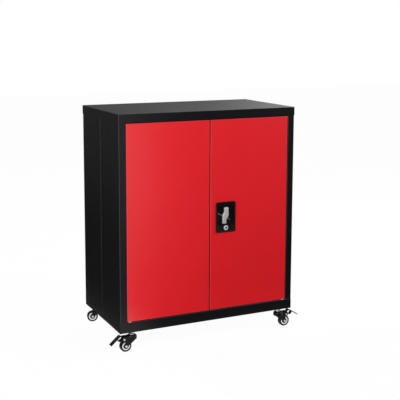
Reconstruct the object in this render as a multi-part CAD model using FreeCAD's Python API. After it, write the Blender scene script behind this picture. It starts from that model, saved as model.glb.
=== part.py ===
"""A steel tool cabinet with two hinged doors, a recessed turn handle and four swivel casters.

Millimetres. +Z is up, +X is right and the doors face -Y. The origin is on the floor, under the middle of
the body. Names that end in _gap are clearances between one piece and the next.
"""
import FreeCAD
import Part
import math
import os

Vec = FreeCAD.Vector

# --- Body -----------------------------------------------------------------------------------------
body_width = 750.0
body_depth = 410.0
body_height = 835.0
ground_clearance = 75.0
sheet = 1.0
bend_radius = 1.0
fit_gap = 0.2

cap_flange = 34.0
cap_gap = 0.3

# Doors in their frame
side_reveal = 29.0
top_reveal = 36.5
bottom_reveal = 42.6
door_gap = 2.0
door_recess = 1.0
door_depth = 20.0
door_side_lip = 15.0
door_end_lip = 26.0
stiffener_width = 60.0
stiffener_flange = 12.0
stiffener_depth = 16.0
stiffener_end_gap = 40.0

# Front frame
stile_depth = 24.0
stile_lip = 12.0
stop_step = 10.0
header_shelf = 29.5
header_lip = 14.0
header_top_lip = 15.0
base_return = 36.0
band_joint_step = 0.3
bumper_radius = 4.0
bumper_height = 3.0
bumper_gap = 0.3
bumper_places = (30.0, 250.0)

# Side panels, each in two leaves
crease_behind_front = 66.0
crease_step = 0.8
crease_run = 2.5
seam_flange = 15.0
seam_hole_radius = 3.0
seam_hole_below_top = 105.0
back_flange = 20.0
rivet_radius = 1.6
rivet_head_radius = 3.2
rivet_head_height = 1.2
seam_rivet_count = 4
seam_rivet_margin = 70.0

screw_radius = 1.9
screw_head_radius = 3.6
screw_head_height = 1.8
screw_tail = 5.0
screw_hole_gap = 0.2
back_screw_count = 5
back_screw_margin = 60.0

# Shelf on slotted uprights
upright_inset_front = 30.0
upright_inset_back = 79.0
upright_width = 25.0
upright_depth = 14.0
upright_slot_width = 5.0
upright_slot_height = 14.0
upright_slot_pitch = 50.0
upright_slot_start = 80.0
shelf_slot_count = 6
shelf_height = 25.0
shelf_lip = 12.0
shelf_side_gap = 0.6
shelf_front_setback = 55.0
shelf_back_gap = 6.0
clip_thickness = 1.5
clip_width = 12.0
clip_hook_width = 4.0
clip_hook_depth = 2.5
clip_riser = 18.0
clip_neck_height = 4.0
clip_hook_drop = 3.0
clip_tongue = 18.0
clip_gap = 0.2

# Door pivots
pivot_inset = 11.0
pivot_setback = 6.0
pivot_radius = 3.0
pivot_head_radius = 4.0
pivot_head_height = 3.0
pivot_running_gap = 0.05
pivot_reach = 10.0
bush_radius = 5.0
bush_flange_radius = 6.0
bush_flange_gap = 0.3
bush_tail = 3.0

# Turn handle in the right door
handle_x = 69.0
handle_above_body = 418.0
plate_width = 84.0
plate_height = 120.0
plate_drop = 5.0
plate_proud = 3.0
plate_corner = 5.0
plate_rim = 2.5
plate_rim_height = 1.0
cup_width = 76.0
cup_height = 80.0
cup_wall = 2.0
cup_depth = 15.0
cup_corner = 6.0
ledge_depth = 5.5
ledge_rise = 40.0
ledge_drop = 6.0
cutout_gap = 0.5
post_spread_x = 31.0
post_top = 48.5
post_bottom = 55.0
post_radius = 2.0
post_hole_gap = 0.2
post_length = 5.5
nut_flats = 7.0
nut_height = 3.2

lever_corners = (
    (-8.5, 33.0, 3.0),
    (11.5, 33.0, 3.0),
    (13.5, -2.0, 8.0),
    (5.8, -13.0, 8.0),
    (6.0, -32.5, 3.0),
    (-13.0, -32.5, 3.0),
    (-13.8, 3.0, 8.0),
    (-8.5, 14.0, 8.0),
)
lever_thickness = 9.0
lever_back_gap = 1.5
lever_edge = 1.5
spindle_radius = 4.5
spindle_square = 6.0
spindle_boss_radius = 8.0
running_gap = 0.06

cam_thickness = 2.5
cam_gap = 0.4
cam_radius = 19.0
cam_tongue_length = 85.0
cam_tongue_width = 16.0
cam_lug_radius = 27.0
cam_lug_width = 12.0
cam_tip_round = 3.0
cam_tip_lead = 6.0
cam_lug_round = 2.0
cam_behind_door = 6.0
crank_radius = 15.0
crank_pin_radius = 2.5
crank_head_radius = 4.2
crank_head_height = 1.5
cam_screw_head_radius = 4.0
cam_screw_head_height = 2.2
cam_screw_radius = 1.5
cam_screw_length = 7.0

# Flat rods that the cam throws up and down
rod_width = 12.0
rod_thickness = 3.0
rod_cam_gap = 0.6
rod_slot_gap = 0.55
rod_slot_wall = 2.2
rod_taper = 3.0
rod_end_gap = 2.5
rod_foot_round = 2.0
slot_end_flat = 0.01
strike_gap = 3.5
guide_height = 12.0
guide_wall = 2.0
guide_gap = 0.3
guide_foot = 12.0

# Key lock under the lever
lock_below_handle = 48.2
barrel_head_radius = 9.5
barrel_head_height = 2.0
barrel_radius = 8.5
plug_radius = 5.5
plug_face = 0.4
keyway_width = 1.4
keyway_height = 7.0
keyway_depth = 6.0
plug_tail_radius = 2.5
plug_tail_end = 2.0
tab_length = 27.0
tab_width = 10.0
tab_heel_round = 4.0
tab_tip_round = 2.0

# Casters
stem_inset_side = 51.0
stem_inset_front = 15.0
caster_trail = 26.0
wheel_radius = 22.5
tyre_width = 19.0
tyre_shoulder = 3.2
rim_radius = 16.0
rim_ring_inner = 10.6
rim_width = 17.4
rim_web = 6.0
rim_hub_radius = 6.5
hub_gap = 0.3
axle_radius = 3.0
axle_head_radius = 5.0
axle_head_height = 1.8
fork_sheet = 2.0
fork_side_gap = 1.0
crown_radius = 20.0
crown_height = 16.5
crown_shoulder = 8.0
leg_root = 8.0
leg_drop = 4.0
leg_boss = 8.5
leg_lobe = 5.5
leg_corner = 4.0
leg_waist = 2.5
leg_waist_rise = 17.0
plain_leg_reach = 3.0
stem_radius = 5.0
stem_hole_gap = 0.2
stem_nut_flats = 17.0
stem_nut_height = 8.0
race_radius = 11.0
race_height = 2.2
swivel_gap = 0.3
kingpin_head_radius = 8.0
kingpin_head_height = 2.5
caster_plate_thickness = 3.0
caster_plate_length = 86.0
caster_plate_width = 58.0
caster_plate_corner = 22.0
caster_plate_round = 4.0
caster_plate_edge = 2.0
weld_nut_height = 8.0
thread_end = 3.0
thread_chamfer = 1.0
rear_trail_azimuth = 166.0

# Foot brakes on the front casters
brake_pivot_x = 34.0
brake_pivot_drop = 25.0
brake_pin_radius = 2.0
brake_pin_head_radius = 4.0
brake_pin_head_height = 1.2
brake_eye_radius = 4.2
pedal_thickness = 3.0
pedal_bend = 3.0
pedal_width = 22.0
pedal_arm_width = 16.0
pedal_root_x = 49.0
pedal_root_drop = 12.0
pedal_shoulder = 3.0
pedal_tip_x = 86.0
pedal_tip_drop = 44.0
rib_height = 0.8
rib_width = 2.0
rib_root = 0.5
rib_side_gap = 3.0
rib_tip_gap = 5.0
rib_start_share = 0.3
pedal_rib_count = 4
link_thickness = 3.0
link_start = 3.0
link_low_x = 53.0
link_low_drop = 34.0
link_end_x = 63.0
link_end_drop = 24.0
pad_start_x = 36.0
pad_length = 8.0
pad_width = 14.0
pad_gap = 0.6
brake_travel = 9.0

# How far a shape that cuts or joins another runs past its face
overrun = 1.0


# --- Places worked out from the sizes above ---------------------------------------------------------
half_width = body_width / 2
front = -body_depth / 2
back = body_depth / 2
bottom = ground_clearance
top = bottom + body_height
under_cap = top - sheet - bend_radius

door_outer = half_width - side_reveal
door_top = top - top_reveal
door_bottom = bottom + bottom_reveal
door_front = front + door_recess
door_back = door_front + door_depth
opening_half = door_outer + door_gap
header_bottom = door_top + door_gap
header_step = header_bottom - stop_step
sill = door_bottom - door_gap
floor = sill + stop_step
stop_face = door_back + bumper_height + bumper_gap
stile_back = front + stile_depth

leaf_outer = half_width - crease_step
leaf_inner = leaf_outer - sheet
leaf_bottom = sill + fit_gap
base_half = leaf_inner - fit_gap
base_rear = back - 2 * sheet - fit_gap
upright_face = base_half - upright_depth

shelf_half = upright_face - clip_gap - clip_thickness - shelf_side_gap
shelf_bottom = floor + upright_slot_start + shelf_slot_count * upright_slot_pitch
shelf_front = front + shelf_front_setback
shelf_back = back - shelf_back_gap
front_upright_y = shelf_front + upright_inset_front
rear_upright_y = shelf_back - upright_inset_back

pivot_x = door_outer - pivot_inset
pivot_y = door_front + pivot_setback
bush_flange_height = door_gap - bush_flange_gap

handle_z = bottom + handle_above_body
plate_front = door_front - plate_proud
plate_middle = handle_z - plate_drop
cup_floor = plate_front + cup_depth
ledge_face = plate_front + cup_depth - ledge_depth
lever_back = ledge_face - lever_back_gap
lever_front = lever_back - lever_thickness
cam_front = door_back + cam_behind_door
cam_back = cam_front + cam_thickness

crank_offset = crank_radius / math.sqrt(2)
rod_offset = (crank_offset + crank_radius) / 2
rod_front = cam_back + rod_cam_gap
rod_back = rod_front + rod_thickness
rod_slot_half_height = crank_pin_radius + rod_slot_gap
rod_slot_half_width = crank_pin_radius + (crank_radius - crank_offset) / 2 + guide_gap

lock_z = handle_z - lock_below_handle
plug_front = plate_front - barrel_head_height - plug_face

stem_x = half_width - stem_inset_side
stem_y = body_depth / 2 - stem_inset_front
race_top = bottom - stem_nut_height
crown_top = race_top - race_height - swivel_gap
leg_inner = tyre_width / 2 + fork_side_gap
leg_outer = leg_inner + fork_sheet
hub_half = leg_inner - hub_gap
brake_pivot_z = bottom - brake_pivot_drop
front_caster = {"left": (-stem_x, -stem_y, 180.0), "right": (stem_x, -stem_y, 0.0)}
rear_caster = {
    "left": (-stem_x, stem_y, rear_trail_azimuth),
    "right": (stem_x, stem_y, 180.0 - rear_trail_azimuth),
}


# --- Shapes that the pieces are made from -------------------------------------------------------------
def block(x, y, z):
    """A box between the low and high value on each axis."""
    return Part.makeBox(x[1] - x[0], y[1] - y[0], z[1] - z[0], Vec(x[0], y[0], z[0]))


def round_bar(radius, centre, span, axis="Z"):
    """A cylinder along an axis from span[0] to span[1], centred on the other two coordinates."""
    length = span[1] - span[0]
    starts = {"X": (span[0], *centre), "Y": (centre[0], span[0], centre[1]), "Z": (*centre, span[0])}
    directions = {"X": Vec(1, 0, 0), "Y": Vec(0, 1, 0), "Z": Vec(0, 0, 1)}
    return Part.makeCylinder(radius, length, Vec(*starts[axis]), directions[axis])


def fused(shapes):
    """One solid from shapes that touch or overlap."""
    return shapes[0].multiFuse(shapes[1:]).removeSplitter()


def mirrored(shape):
    """The same piece on the other side of the cabinet."""
    return shape.mirror(Vec(0, 0, 0), Vec(1, 0, 0))


def evenly(first, last, count):
    """Places from first to last, both included."""
    return [first + (last - first) * i / (count - 1) for i in range(count)]


def outline(corners):
    """A closed wire through (u, v, radius) corners, rounded where the radius is above zero."""
    edges = []
    stops = []
    for i, (u, v, radius) in enumerate(corners):
        here = Vec(u, v, 0)
        before = Vec(*corners[i - 1][:2], 0)
        after = Vec(*corners[(i + 1) % len(corners)][:2], 0)
        way_in = (here - before).normalize()
        way_out = (after - here).normalize()
        if radius <= 0:
            stops.append((here, None, here))
            continue
        half_turn = way_in.getAngle(way_out) / 2
        inward = (way_out - way_in).normalize()
        middle = here + inward * (radius / math.cos(half_turn) - radius)
        cut = radius * math.tan(half_turn)
        stops.append((here - way_in * cut, middle, here + way_out * cut))
    for i, (start, middle, end) in enumerate(stops):
        if middle is not None:
            edges.append(Part.Arc(start, middle, end).toShape())
        following = stops[(i + 1) % len(stops)][0]
        if end.distanceToPoint(following) > 1e-6:
            edges.append(Part.LineSegment(end, following).toShape())
    return Part.Wire(edges)


def slab(corners, plane, span):
    """The outline, in plane XY, XZ or YZ, extruded from span[0] to span[1] along the third axis."""
    turns = {"XY": (Vec(0, 0, 1), 0), "XZ": (Vec(1, 0, 0), 90), "YZ": (Vec(1, 1, 1), 120)}
    low = -span[1] if plane == "XZ" else span[0]
    shape = Part.Face(outline(corners)).extrude(Vec(0, 0, span[1] - span[0]))
    shape.translate(Vec(0, 0, low))
    axis, angle = turns[plane]
    shape.rotate(Vec(0, 0, 0), axis, angle)
    return shape


def turned(corners):
    """The outline, given as radius and height, turned about the vertical axis."""
    face = Part.Face(outline(corners))
    face.rotate(Vec(0, 0, 0), Vec(1, 0, 0), 90)
    return face.revolve(Vec(0, 0, 0), Vec(0, 0, 1), 360)


def fold(path, side, thickness=sheet, radius=bend_radius):
    """Corners of sheet folded along a path, with its thickness to the left (side 1) or right (side -1)."""
    steps = [(Vec(*end, 0) - Vec(*start, 0)).normalize() for start, end in zip(path, path[1:])]
    normals = [Vec(-step.y, step.x, 0) * side for step in steps]
    face = []
    rear = []
    for i, (u, v) in enumerate(path):
        first = normals[max(i - 1, 0)]
        second = normals[min(i, len(steps) - 1)]
        shift = (first + second) * (thickness / (1 + first.dot(second)))
        bend = 0
        if 0 < i < len(path) - 1:
            bend = steps[i - 1].cross(steps[i]).z * side
        wide = radius + thickness
        face.append((u, v, 0 if bend == 0 else wide if bend > 0 else radius))
        rear.append((u + shift.x, v + shift.y, 0 if bend == 0 else radius if bend > 0 else wide))
    return face + rear[::-1]


def rounded_block(x, y, z, radius, mouth=None):
    """A box with every edge rounded, but for those around its mouth: (axis number, 0 low or 1 high)."""
    shape = block(x, y, z)
    edges = shape.Edges
    if mouth:
        level = (x, y, z)[mouth[0]][mouth[1]]
        edges = [e for e in edges if any(abs(v.Point[mouth[0]] - level) > 1e-6 for v in e.Vertexes)]
    return shape.makeFillet(radius, edges)


def tray(x, y, z, mouth):
    """A tray of folded sheet, open at its mouth."""
    spans = [list(span) for span in (x, y, z)]
    hollow = [[low + sheet, high - sheet] for low, high in spans]
    hollow[mouth[0]][mouth[1]] = spans[mouth[0]][mouth[1]] + (2 * mouth[1] - 1)
    outer = rounded_block(*spans, bend_radius + sheet, mouth)
    return outer.cut(rounded_block(*hollow, bend_radius, mouth))


def lipped_tray(x, y, z, mouth, lips):
    """A tray of folded sheet whose walls turn in as a lip around its mouth."""
    spans = [list(span) for span in (x, y, z)]
    hollow = [[low + sheet, high - sheet] for low, high in spans]
    window = [[low + lip, high - lip] for (low, high), lip in zip(spans, lips)]
    edge = spans[mouth[0]][mouth[1]]
    outward = 2 * mouth[1] - 1
    window[mouth[0]] = sorted([edge - outward * 2 * sheet, edge + outward])
    shape = rounded_block(*spans, bend_radius + sheet).cut(rounded_block(*hollow, bend_radius))
    return shape.cut(block(*window))


def hexagon(flats, centre, span, bore, axis="Z"):
    """A hexagon nut with its bore, flats across."""
    corners = []
    for i in range(6):
        angle = math.radians(60 * i + 30)
        reach = flats / 2 / math.cos(math.radians(30))
        corners.append((centre[0] + reach * math.cos(angle), centre[1] + reach * math.sin(angle), 0))
    plane = "XY" if axis == "Z" else "XZ"
    hole = round_bar(bore, centre, (span[0] - overrun, span[1] + overrun), axis)
    return slab(corners, plane, span).cut(hole)


# --- Carcass ----------------------------------------------------------------------------------------
def top_panel():
    wide = half_width + cap_gap + sheet
    deep = body_depth / 2 + cap_gap + sheet
    return tray((-wide, wide), (-deep, deep), (top - cap_flange, top), (2, 0))


def pivot_holes(shape, height):
    """The shape with a hole for each door's pivot bush at this height."""
    for x in (-pivot_x, pivot_x):
        hole = round_bar(bush_radius + fit_gap, (x, pivot_y), (height - 2 * sheet, height + 2 * sheet))
        shape = shape.cut(hole)
    return shape


def strike_slot(x, height):
    """The opening that a thrown rod enters."""
    across = rod_width / 2 + strike_gap
    return block((x - across, x + across), (rod_front - strike_gap, rod_back + strike_gap),
                 (height - 2 * sheet, height + 2 * sheet))


def front_header():
    path = [
        (front + header_top_lip, under_cap),
        (front, under_cap),
        (front, header_bottom),
        (stop_face, header_bottom),
        (stop_face, header_step),
        (stop_face + header_shelf, header_step),
        (stop_face + header_shelf, header_step + header_lip),
    ]
    reach = opening_half - fit_gap
    shape = slab(fold(path, 1), "YZ", (-reach, reach))
    tab_rear = stop_face - fit_gap
    for low in (-reach, reach - sheet):
        tab = block((low, low + sheet), (front + sheet / 2, tab_rear), (header_bottom + sheet / 2, under_cap))
        shape = fused([shape, tab])
    shape = pivot_holes(shape, header_bottom)
    return shape.cut(strike_slot(handle_x + rod_offset, header_step))


def bottom_panel():
    path = [
        (front + base_return, bottom),
        (front, bottom),
        (front, sill),
        (stop_face, sill),
        (stop_face, floor),
        (base_rear, floor),
        (base_rear, bottom),
        (base_rear - base_return, bottom),
    ]
    pieces = [slab(fold(path, -1), "YZ", (-base_half, base_half))]
    for low in (-base_half, base_half - sheet):
        pieces.append(block((low, low + sheet), (stop_face, base_rear - sheet),
                            (bottom + sheet / 2, floor - sheet / 2)))
    for edges in ((-half_width, -base_half + overrun), (base_half - overrun, half_width)):
        pieces.append(block(edges, (front, front + sheet),
                            (bottom + bend_radius + sheet, sill - bend_radius - sheet)))
        pieces.append(block(edges, (front + band_joint_step, front + sheet), (bottom, sill)))
    shape = pivot_holes(fused(pieces), sill)
    for x in (-stem_x, stem_x):
        for y in (-stem_y, stem_y):
            shape = shape.cut(round_bar(stem_radius + stem_hole_gap, (x, y),
                                        (bottom - overrun, bottom + 2 * sheet)))
    return shape.cut(strike_slot(handle_x - rod_offset, floor))


def front_leaf():
    """The left side's front leaf: stile, rounded front corner, shallow crease and seam flange."""
    crease = front + crease_behind_front
    path = [
        (-opening_half - stile_lip, stile_back),
        (-opening_half, stile_back),
        (-opening_half, front),
        (-half_width, front),
        (-half_width, crease),
        (-leaf_outer, crease + crease_run),
        (-leaf_outer, 0),
        (-leaf_outer + seam_flange, 0),
    ]
    shape = slab(fold(path, -1), "XY", (bottom, under_cap))
    below = (bottom - overrun, leaf_bottom)
    across = (-half_width - overrun, -opening_half + overrun)
    shape = shape.cut(block(across, (front - overrun, front + sheet + fit_gap), below))
    inside = (-half_width + sheet, -opening_half + overrun)
    return shape.cut(block(inside, (front, stile_back + overrun), below))


def rear_leaf():
    path = [
        (-leaf_outer + seam_flange, 0),
        (-leaf_outer, 0),
        (-leaf_outer, back - sheet),
        (-leaf_outer + back_flange, back - sheet),
    ]
    return slab(fold(path, -1), "XY", (bottom, under_cap))


def seam_rivet_places():
    """Centres of the seam rivets on the left side, as x and z."""
    heights = evenly(bottom + seam_rivet_margin, top - seam_rivet_margin, seam_rivet_count)
    return [(-leaf_outer + sheet + (seam_flange - sheet) / 2, z) for z in heights]


def pierced_leaf(shape):
    """A left leaf with half of the seam hole, its rivet holes and a seam flange cut short above the floor."""
    beside = (-leaf_inner, -leaf_inner + seam_flange)
    shape = shape.cut(block(beside, (-2 * sheet, 2 * sheet), (bottom - overrun, floor + fit_gap)))
    z = top - seam_hole_below_top
    shape = shape.cut(round_bar(seam_hole_radius, (0, z), (-half_width, -leaf_inner + sheet), "X"))
    for x, z in seam_rivet_places():
        shape = shape.cut(round_bar(rivet_radius, (x, z), (-2 * sheet, 2 * sheet), "Y"))
    return shape


def seam_rivets():
    """Blind rivets through both seam flanges, on both sides."""
    rivets = []
    for x, z in seam_rivet_places():
        shank = round_bar(rivet_radius, (x, z), (-sheet, sheet), "Y")
        heads = []
        for side in (-1, 1):
            ends = sorted([side * sheet, side * (sheet + rivet_head_height)])
            heads.append(round_bar(rivet_head_radius, (x, z), ends, "Y"))
        rivet = fused([heads[0], shank, heads[1]])
        rivets += [rivet, mirrored(rivet)]
    return Part.makeCompound(rivets)


def back_screw_places():
    x = leaf_outer - back_flange / 2
    heights = evenly(bottom + back_screw_margin, top - back_screw_margin, back_screw_count)
    return [(side * x, z) for side in (-1, 1) for z in heights]


def screw_holes(shape):
    """The shape with a hole for each back screw."""
    for x, z in back_screw_places():
        shape = shape.cut(round_bar(screw_radius + screw_hole_gap, (x, z),
                                    (back - 3 * sheet, back + sheet), "Y"))
    return shape


def back_panel():
    return screw_holes(block((-leaf_outer, leaf_outer), (back - sheet, back), (bottom, under_cap)))


def back_screws():
    screws = []
    for x, z in back_screw_places():
        shank = round_bar(screw_radius, (x, z), (back - screw_tail, back), "Y")
        head = round_bar(screw_head_radius, (x, z), (back, back + screw_head_height), "Y")
        screws.append(fused([shank, head]))
    return Part.makeCompound(screws)


def shelf_upright(x_side, y):
    """A slotted channel that stands against a side panel."""
    half = upright_width / 2
    path = [(-base_half, y - half), (-upright_face, y - half),
            (-upright_face, y + half), (-base_half, y + half)]
    shape = slab(fold(path, 1), "XY", (floor, under_cap))
    slot_z = floor + upright_slot_start
    while slot_z + upright_slot_height < under_cap - upright_slot_pitch / 2:
        across = (y - upright_slot_width / 2, y + upright_slot_width / 2)
        shape = shape.cut(block((-upright_face - 2 * sheet, -upright_face + overrun), across,
                                (slot_z, slot_z + upright_slot_height)))
        slot_z += upright_slot_pitch
    return mirrored(shape) if x_side > 0 else shape


def shelf():
    return lipped_tray((-shelf_half, shelf_half), (shelf_front, shelf_back),
                       (shelf_bottom, shelf_bottom + shelf_height), (2, 0), (shelf_lip, shelf_lip, 0))


def shelf_clip(y):
    """A clip that hooks into an upright's slot and carries the shelf's edge on its tongue."""
    face = -upright_face + clip_gap
    wide = (y - clip_width / 2, y + clip_width / 2)
    hook = (y - clip_hook_width / 2, y + clip_hook_width / 2)
    low = shelf_bottom - clip_thickness
    riser = block((face, face + clip_thickness), wide, (low, shelf_bottom + clip_riser))
    tongue = block((face, face + clip_tongue), wide, (low, shelf_bottom))
    neck_start = -upright_face - sheet - clip_gap - clip_hook_depth
    neck_top = shelf_bottom + clip_gap + clip_neck_height
    neck = block((neck_start, face), hook, (shelf_bottom + clip_gap, neck_top))
    drop = block((neck_start, neck_start + clip_hook_depth), hook, (shelf_bottom - clip_hook_drop, neck_top))
    return fused([riser, tongue, neck, drop])


def shelf_clips():
    clips = []
    for y in (front_upright_y, rear_upright_y):
        clips += [shelf_clip(y), mirrored(shelf_clip(y))]
    return Part.makeCompound(clips)


def pivot_bushes():
    """Flanged nylon bushes in the header and the sill, one above and one below each door."""
    bushes = []
    for x in (-pivot_x, pivot_x):
        for level, up in ((header_bottom, 1), (sill, -1)):
            flange = round_bar(bush_flange_radius, (x, pivot_y),
                               sorted([level - up * bush_flange_height, level]))
            tube = round_bar(bush_radius, (x, pivot_y), sorted([level, level + up * (sheet + bush_tail)]))
            ends = sorted([level - up * door_gap, level + up * (sheet + bush_tail + overrun)])
            bore = round_bar(pivot_radius + pivot_running_gap, (x, pivot_y), ends)
            bushes.append(fused([flange, tube]).cut(bore))
    return Part.makeCompound(bushes)


def door_bumpers():
    """Rubber buffers that the doors close against, on the header's step and the sill's step."""
    bumpers = []
    for level in (header_bottom - stop_step / 2, sill + stop_step / 2):
        for place in bumper_places:
            for x in (-place, place):
                bumpers.append(round_bar(bumper_radius, (x, level),
                                         (stop_face - bumper_height, stop_face), "Y"))
    return Part.makeCompound(bumpers)


def caster_plate(x_side, y_side):
    """A corner plate on the base tray's return, with its welded nut."""
    outer_x = base_half - sheet - fit_gap
    inner_x = outer_x - caster_plate_length
    outer_y = base_rear - sheet - fit_gap - bend_radius
    inner_y = outer_y - caster_plate_width
    low = bottom + sheet
    high = low + caster_plate_thickness
    corners = [
        (inner_x, inner_y + caster_plate_corner, caster_plate_round),
        (inner_x + caster_plate_corner, inner_y, caster_plate_round),
        (outer_x, inner_y, caster_plate_edge),
        (outer_x, outer_y, caster_plate_edge),
        (inner_x, outer_y, caster_plate_edge),
    ]
    plate = slab(corners, "XY", (low, high))
    hole = round_bar(stem_radius + stem_hole_gap, (stem_x, stem_y),
                     (low - overrun, high + weld_nut_height + overrun))
    nut = hexagon(stem_nut_flats, (stem_x, stem_y), (high, high + weld_nut_height), stem_radius)
    shape = fused([plate, nut]).cut(hole)
    if x_side < 0:
        shape = shape.mirror(Vec(0, 0, 0), Vec(1, 0, 0))
    if y_side < 0:
        shape = shape.mirror(Vec(0, 0, 0), Vec(0, 1, 0))
    return shape


def caster_plates():
    return Part.makeCompound([caster_plate(x, y) for x in (-1, 1) for y in (-1, 1)])


# --- Doors --------------------------------------------------------------------------------------------
def door_blank():
    """The right door's folded tray, with its pivot holes."""
    shape = lipped_tray((door_gap, door_outer), (door_front, door_back), (door_bottom, door_top), (1, 1),
                        (door_side_lip, 0, door_end_lip))
    for level in (door_bottom, door_top):
        hole = round_bar(pivot_radius + fit_gap, (pivot_x, pivot_y), (level - 2 * sheet, level + 2 * sheet))
        shape = shape.cut(hole)
    return shape


def handle_cutouts(shape):
    """The door with its openings for the handle's cup, the lock and the four posts."""
    span = (door_front - overrun, door_front + 2 * sheet)
    reach_x = cup_width / 2 + cutout_gap
    reach_z = cup_height / 2 + cutout_gap
    shape = shape.cut(block((handle_x - reach_x, handle_x + reach_x), span,
                            (handle_z - reach_z, handle_z + reach_z)))
    shape = shape.cut(round_bar(barrel_head_radius + cup_wall + cutout_gap, (handle_x, lock_z), span, "Y"))
    for place in post_places():
        shape = shape.cut(round_bar(post_radius + post_hole_gap, place, span, "Y"))
    return shape


def door_stiffener():
    """A hat channel inside the right door, welded to the back of its face."""
    middle = (door_gap + door_outer) / 2
    half = stiffener_width / 2
    face = door_front + sheet
    crown = face + stiffener_depth
    path = [
        (middle - half - stiffener_flange, face),
        (middle - half, face),
        (middle - half, crown),
        (middle + half, crown),
        (middle + half, face),
        (middle + half + stiffener_flange, face),
    ]
    return slab(fold(path, 1), "XY", (door_bottom + stiffener_end_gap, door_top - stiffener_end_gap))


def pivot_pins():
    """The right door's two pivot pins, headed inside the door's top and bottom walls."""
    pins = []
    for level, up in ((door_top, 1), (door_bottom, -1)):
        inside = level - up * sheet
        axis = (pivot_x, pivot_y)
        head = round_bar(pivot_head_radius, axis, sorted([inside - up * pivot_head_height, inside]))
        shank = round_bar(pivot_radius, axis, sorted([inside, level + up * pivot_reach]))
        pins.append(fused([head, shank]))
    return Part.makeCompound(pins)


# --- Handle, bolts and lock ---------------------------------------------------------------------------
def post_places():
    """Centres of the housing's four fixing posts, as x and z."""
    places = []
    for side in (-1, 1):
        places.append((handle_x + side * post_spread_x, handle_z + post_top))
        places.append((handle_x + side * post_spread_x, handle_z - post_bottom))
    return places


def oblong(x, z, half_wide, half_tall, corner):
    """Corners of a rounded rectangle about (x, z)."""
    return [(x - half_wide, z - half_tall, corner), (x + half_wide, z - half_tall, corner),
            (x + half_wide, z + half_tall, corner), (x - half_wide, z + half_tall, corner)]


def centred(width, height, corner, middle_z=None):
    """Corners of a rounded rectangle about the handle's centre line."""
    return oblong(handle_x, handle_z if middle_z is None else middle_z, width / 2, height / 2, corner)


def handle_housing():
    """A moulded plate with a finger cup behind the lever; a slanted ledge splits the cup's floor."""
    border = centred(plate_width, plate_height, plate_corner, plate_middle)
    plate = slab(border, "XZ", (plate_front, door_front))
    rim = slab(border, "XZ",
               (plate_front - plate_rim_height, plate_front))
    inner = 2 * plate_rim
    within = centred(plate_width - inner, plate_height - inner, plate_corner - plate_rim, plate_middle)
    rim = rim.cut(slab(within, "XZ", (plate_front - 2 * plate_rim_height, plate_front)))
    cup = slab(centred(cup_width, cup_height, cup_corner), "XZ", (door_front, cup_floor + cup_wall))
    boss = round_bar(spindle_boss_radius, (handle_x, handle_z), (cup_floor, cam_front - cam_gap), "Y")
    seat = round_bar(barrel_head_radius + cup_wall, (handle_x, lock_z),
                     (door_front, cup_floor + cup_wall), "Y")
    posts = [round_bar(post_radius, place, (door_front, door_front + post_length), "Y")
             for place in post_places()]
    shape = fused([plate, rim, cup, boss, seat] + posts)
    walls = 2 * cup_wall
    hollow = slab(centred(cup_width - walls, cup_height - walls, cup_corner - cup_wall), "XZ",
                  (plate_front - overrun, cup_floor))
    left = handle_x - cup_width / 2
    right = handle_x + cup_width / 2
    low = handle_z - cup_height / 2
    split_left = handle_z + ledge_rise / 2 - ledge_drop
    split_right = handle_z - ledge_rise / 2 - ledge_drop
    ledge = slab([(left, low, 0), (right, low, 0), (right, split_right, 0), (left, split_left, 0)], "XZ",
                 (ledge_face, cup_floor))
    shape = shape.cut(hollow.cut(ledge))
    shape = shape.cut(round_bar(spindle_radius + running_gap, (handle_x, handle_z),
                                (plate_front, cam_front), "Y"))
    seat_bore = round_bar(barrel_radius + running_gap, (handle_x, lock_z),
                          (plate_front - overrun, cam_front), "Y")
    return shape.cut(seat_bore)


def housing_nuts():
    ends = (door_front + sheet, door_front + sheet + nut_height)
    bore = post_radius + running_gap
    return Part.makeCompound([hexagon(nut_flats, place, ends, bore, "Y") for place in post_places()])


def handle_lever():
    """The S-shaped chrome lever with its spindle, squared at the end for the cam."""
    corners = [(handle_x + x, handle_z + z, radius) for x, z, radius in lever_corners]
    blade = slab(corners, "XZ", (lever_front, lever_back))
    rim = [e for e in blade.Edges if all(abs(v.Y - lever_front) < 1e-6 for v in e.Vertexes)]
    blade = blade.makeChamfer(lever_edge, rim)
    spindle = round_bar(spindle_radius, (handle_x, handle_z), (lever_back, cam_front), "Y")
    half = spindle_square / 2
    square = block((handle_x - half, handle_x + half), (cam_front, cam_back),
                   (handle_z - half, handle_z + half))
    tapping = round_bar(cam_screw_radius + running_gap, (handle_x, handle_z),
                        (cam_back - cam_screw_length, cam_back + overrun), "Y")
    return fused([blade, spindle, square]).cut(tapping)


def crank_places():
    """Centres of the cam's two rod pins: the right one throws the upper rod, the left one the lower rod."""
    return [(handle_x + crank_offset, handle_z - crank_offset),
            (handle_x - crank_offset, handle_z + crank_offset)]


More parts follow.
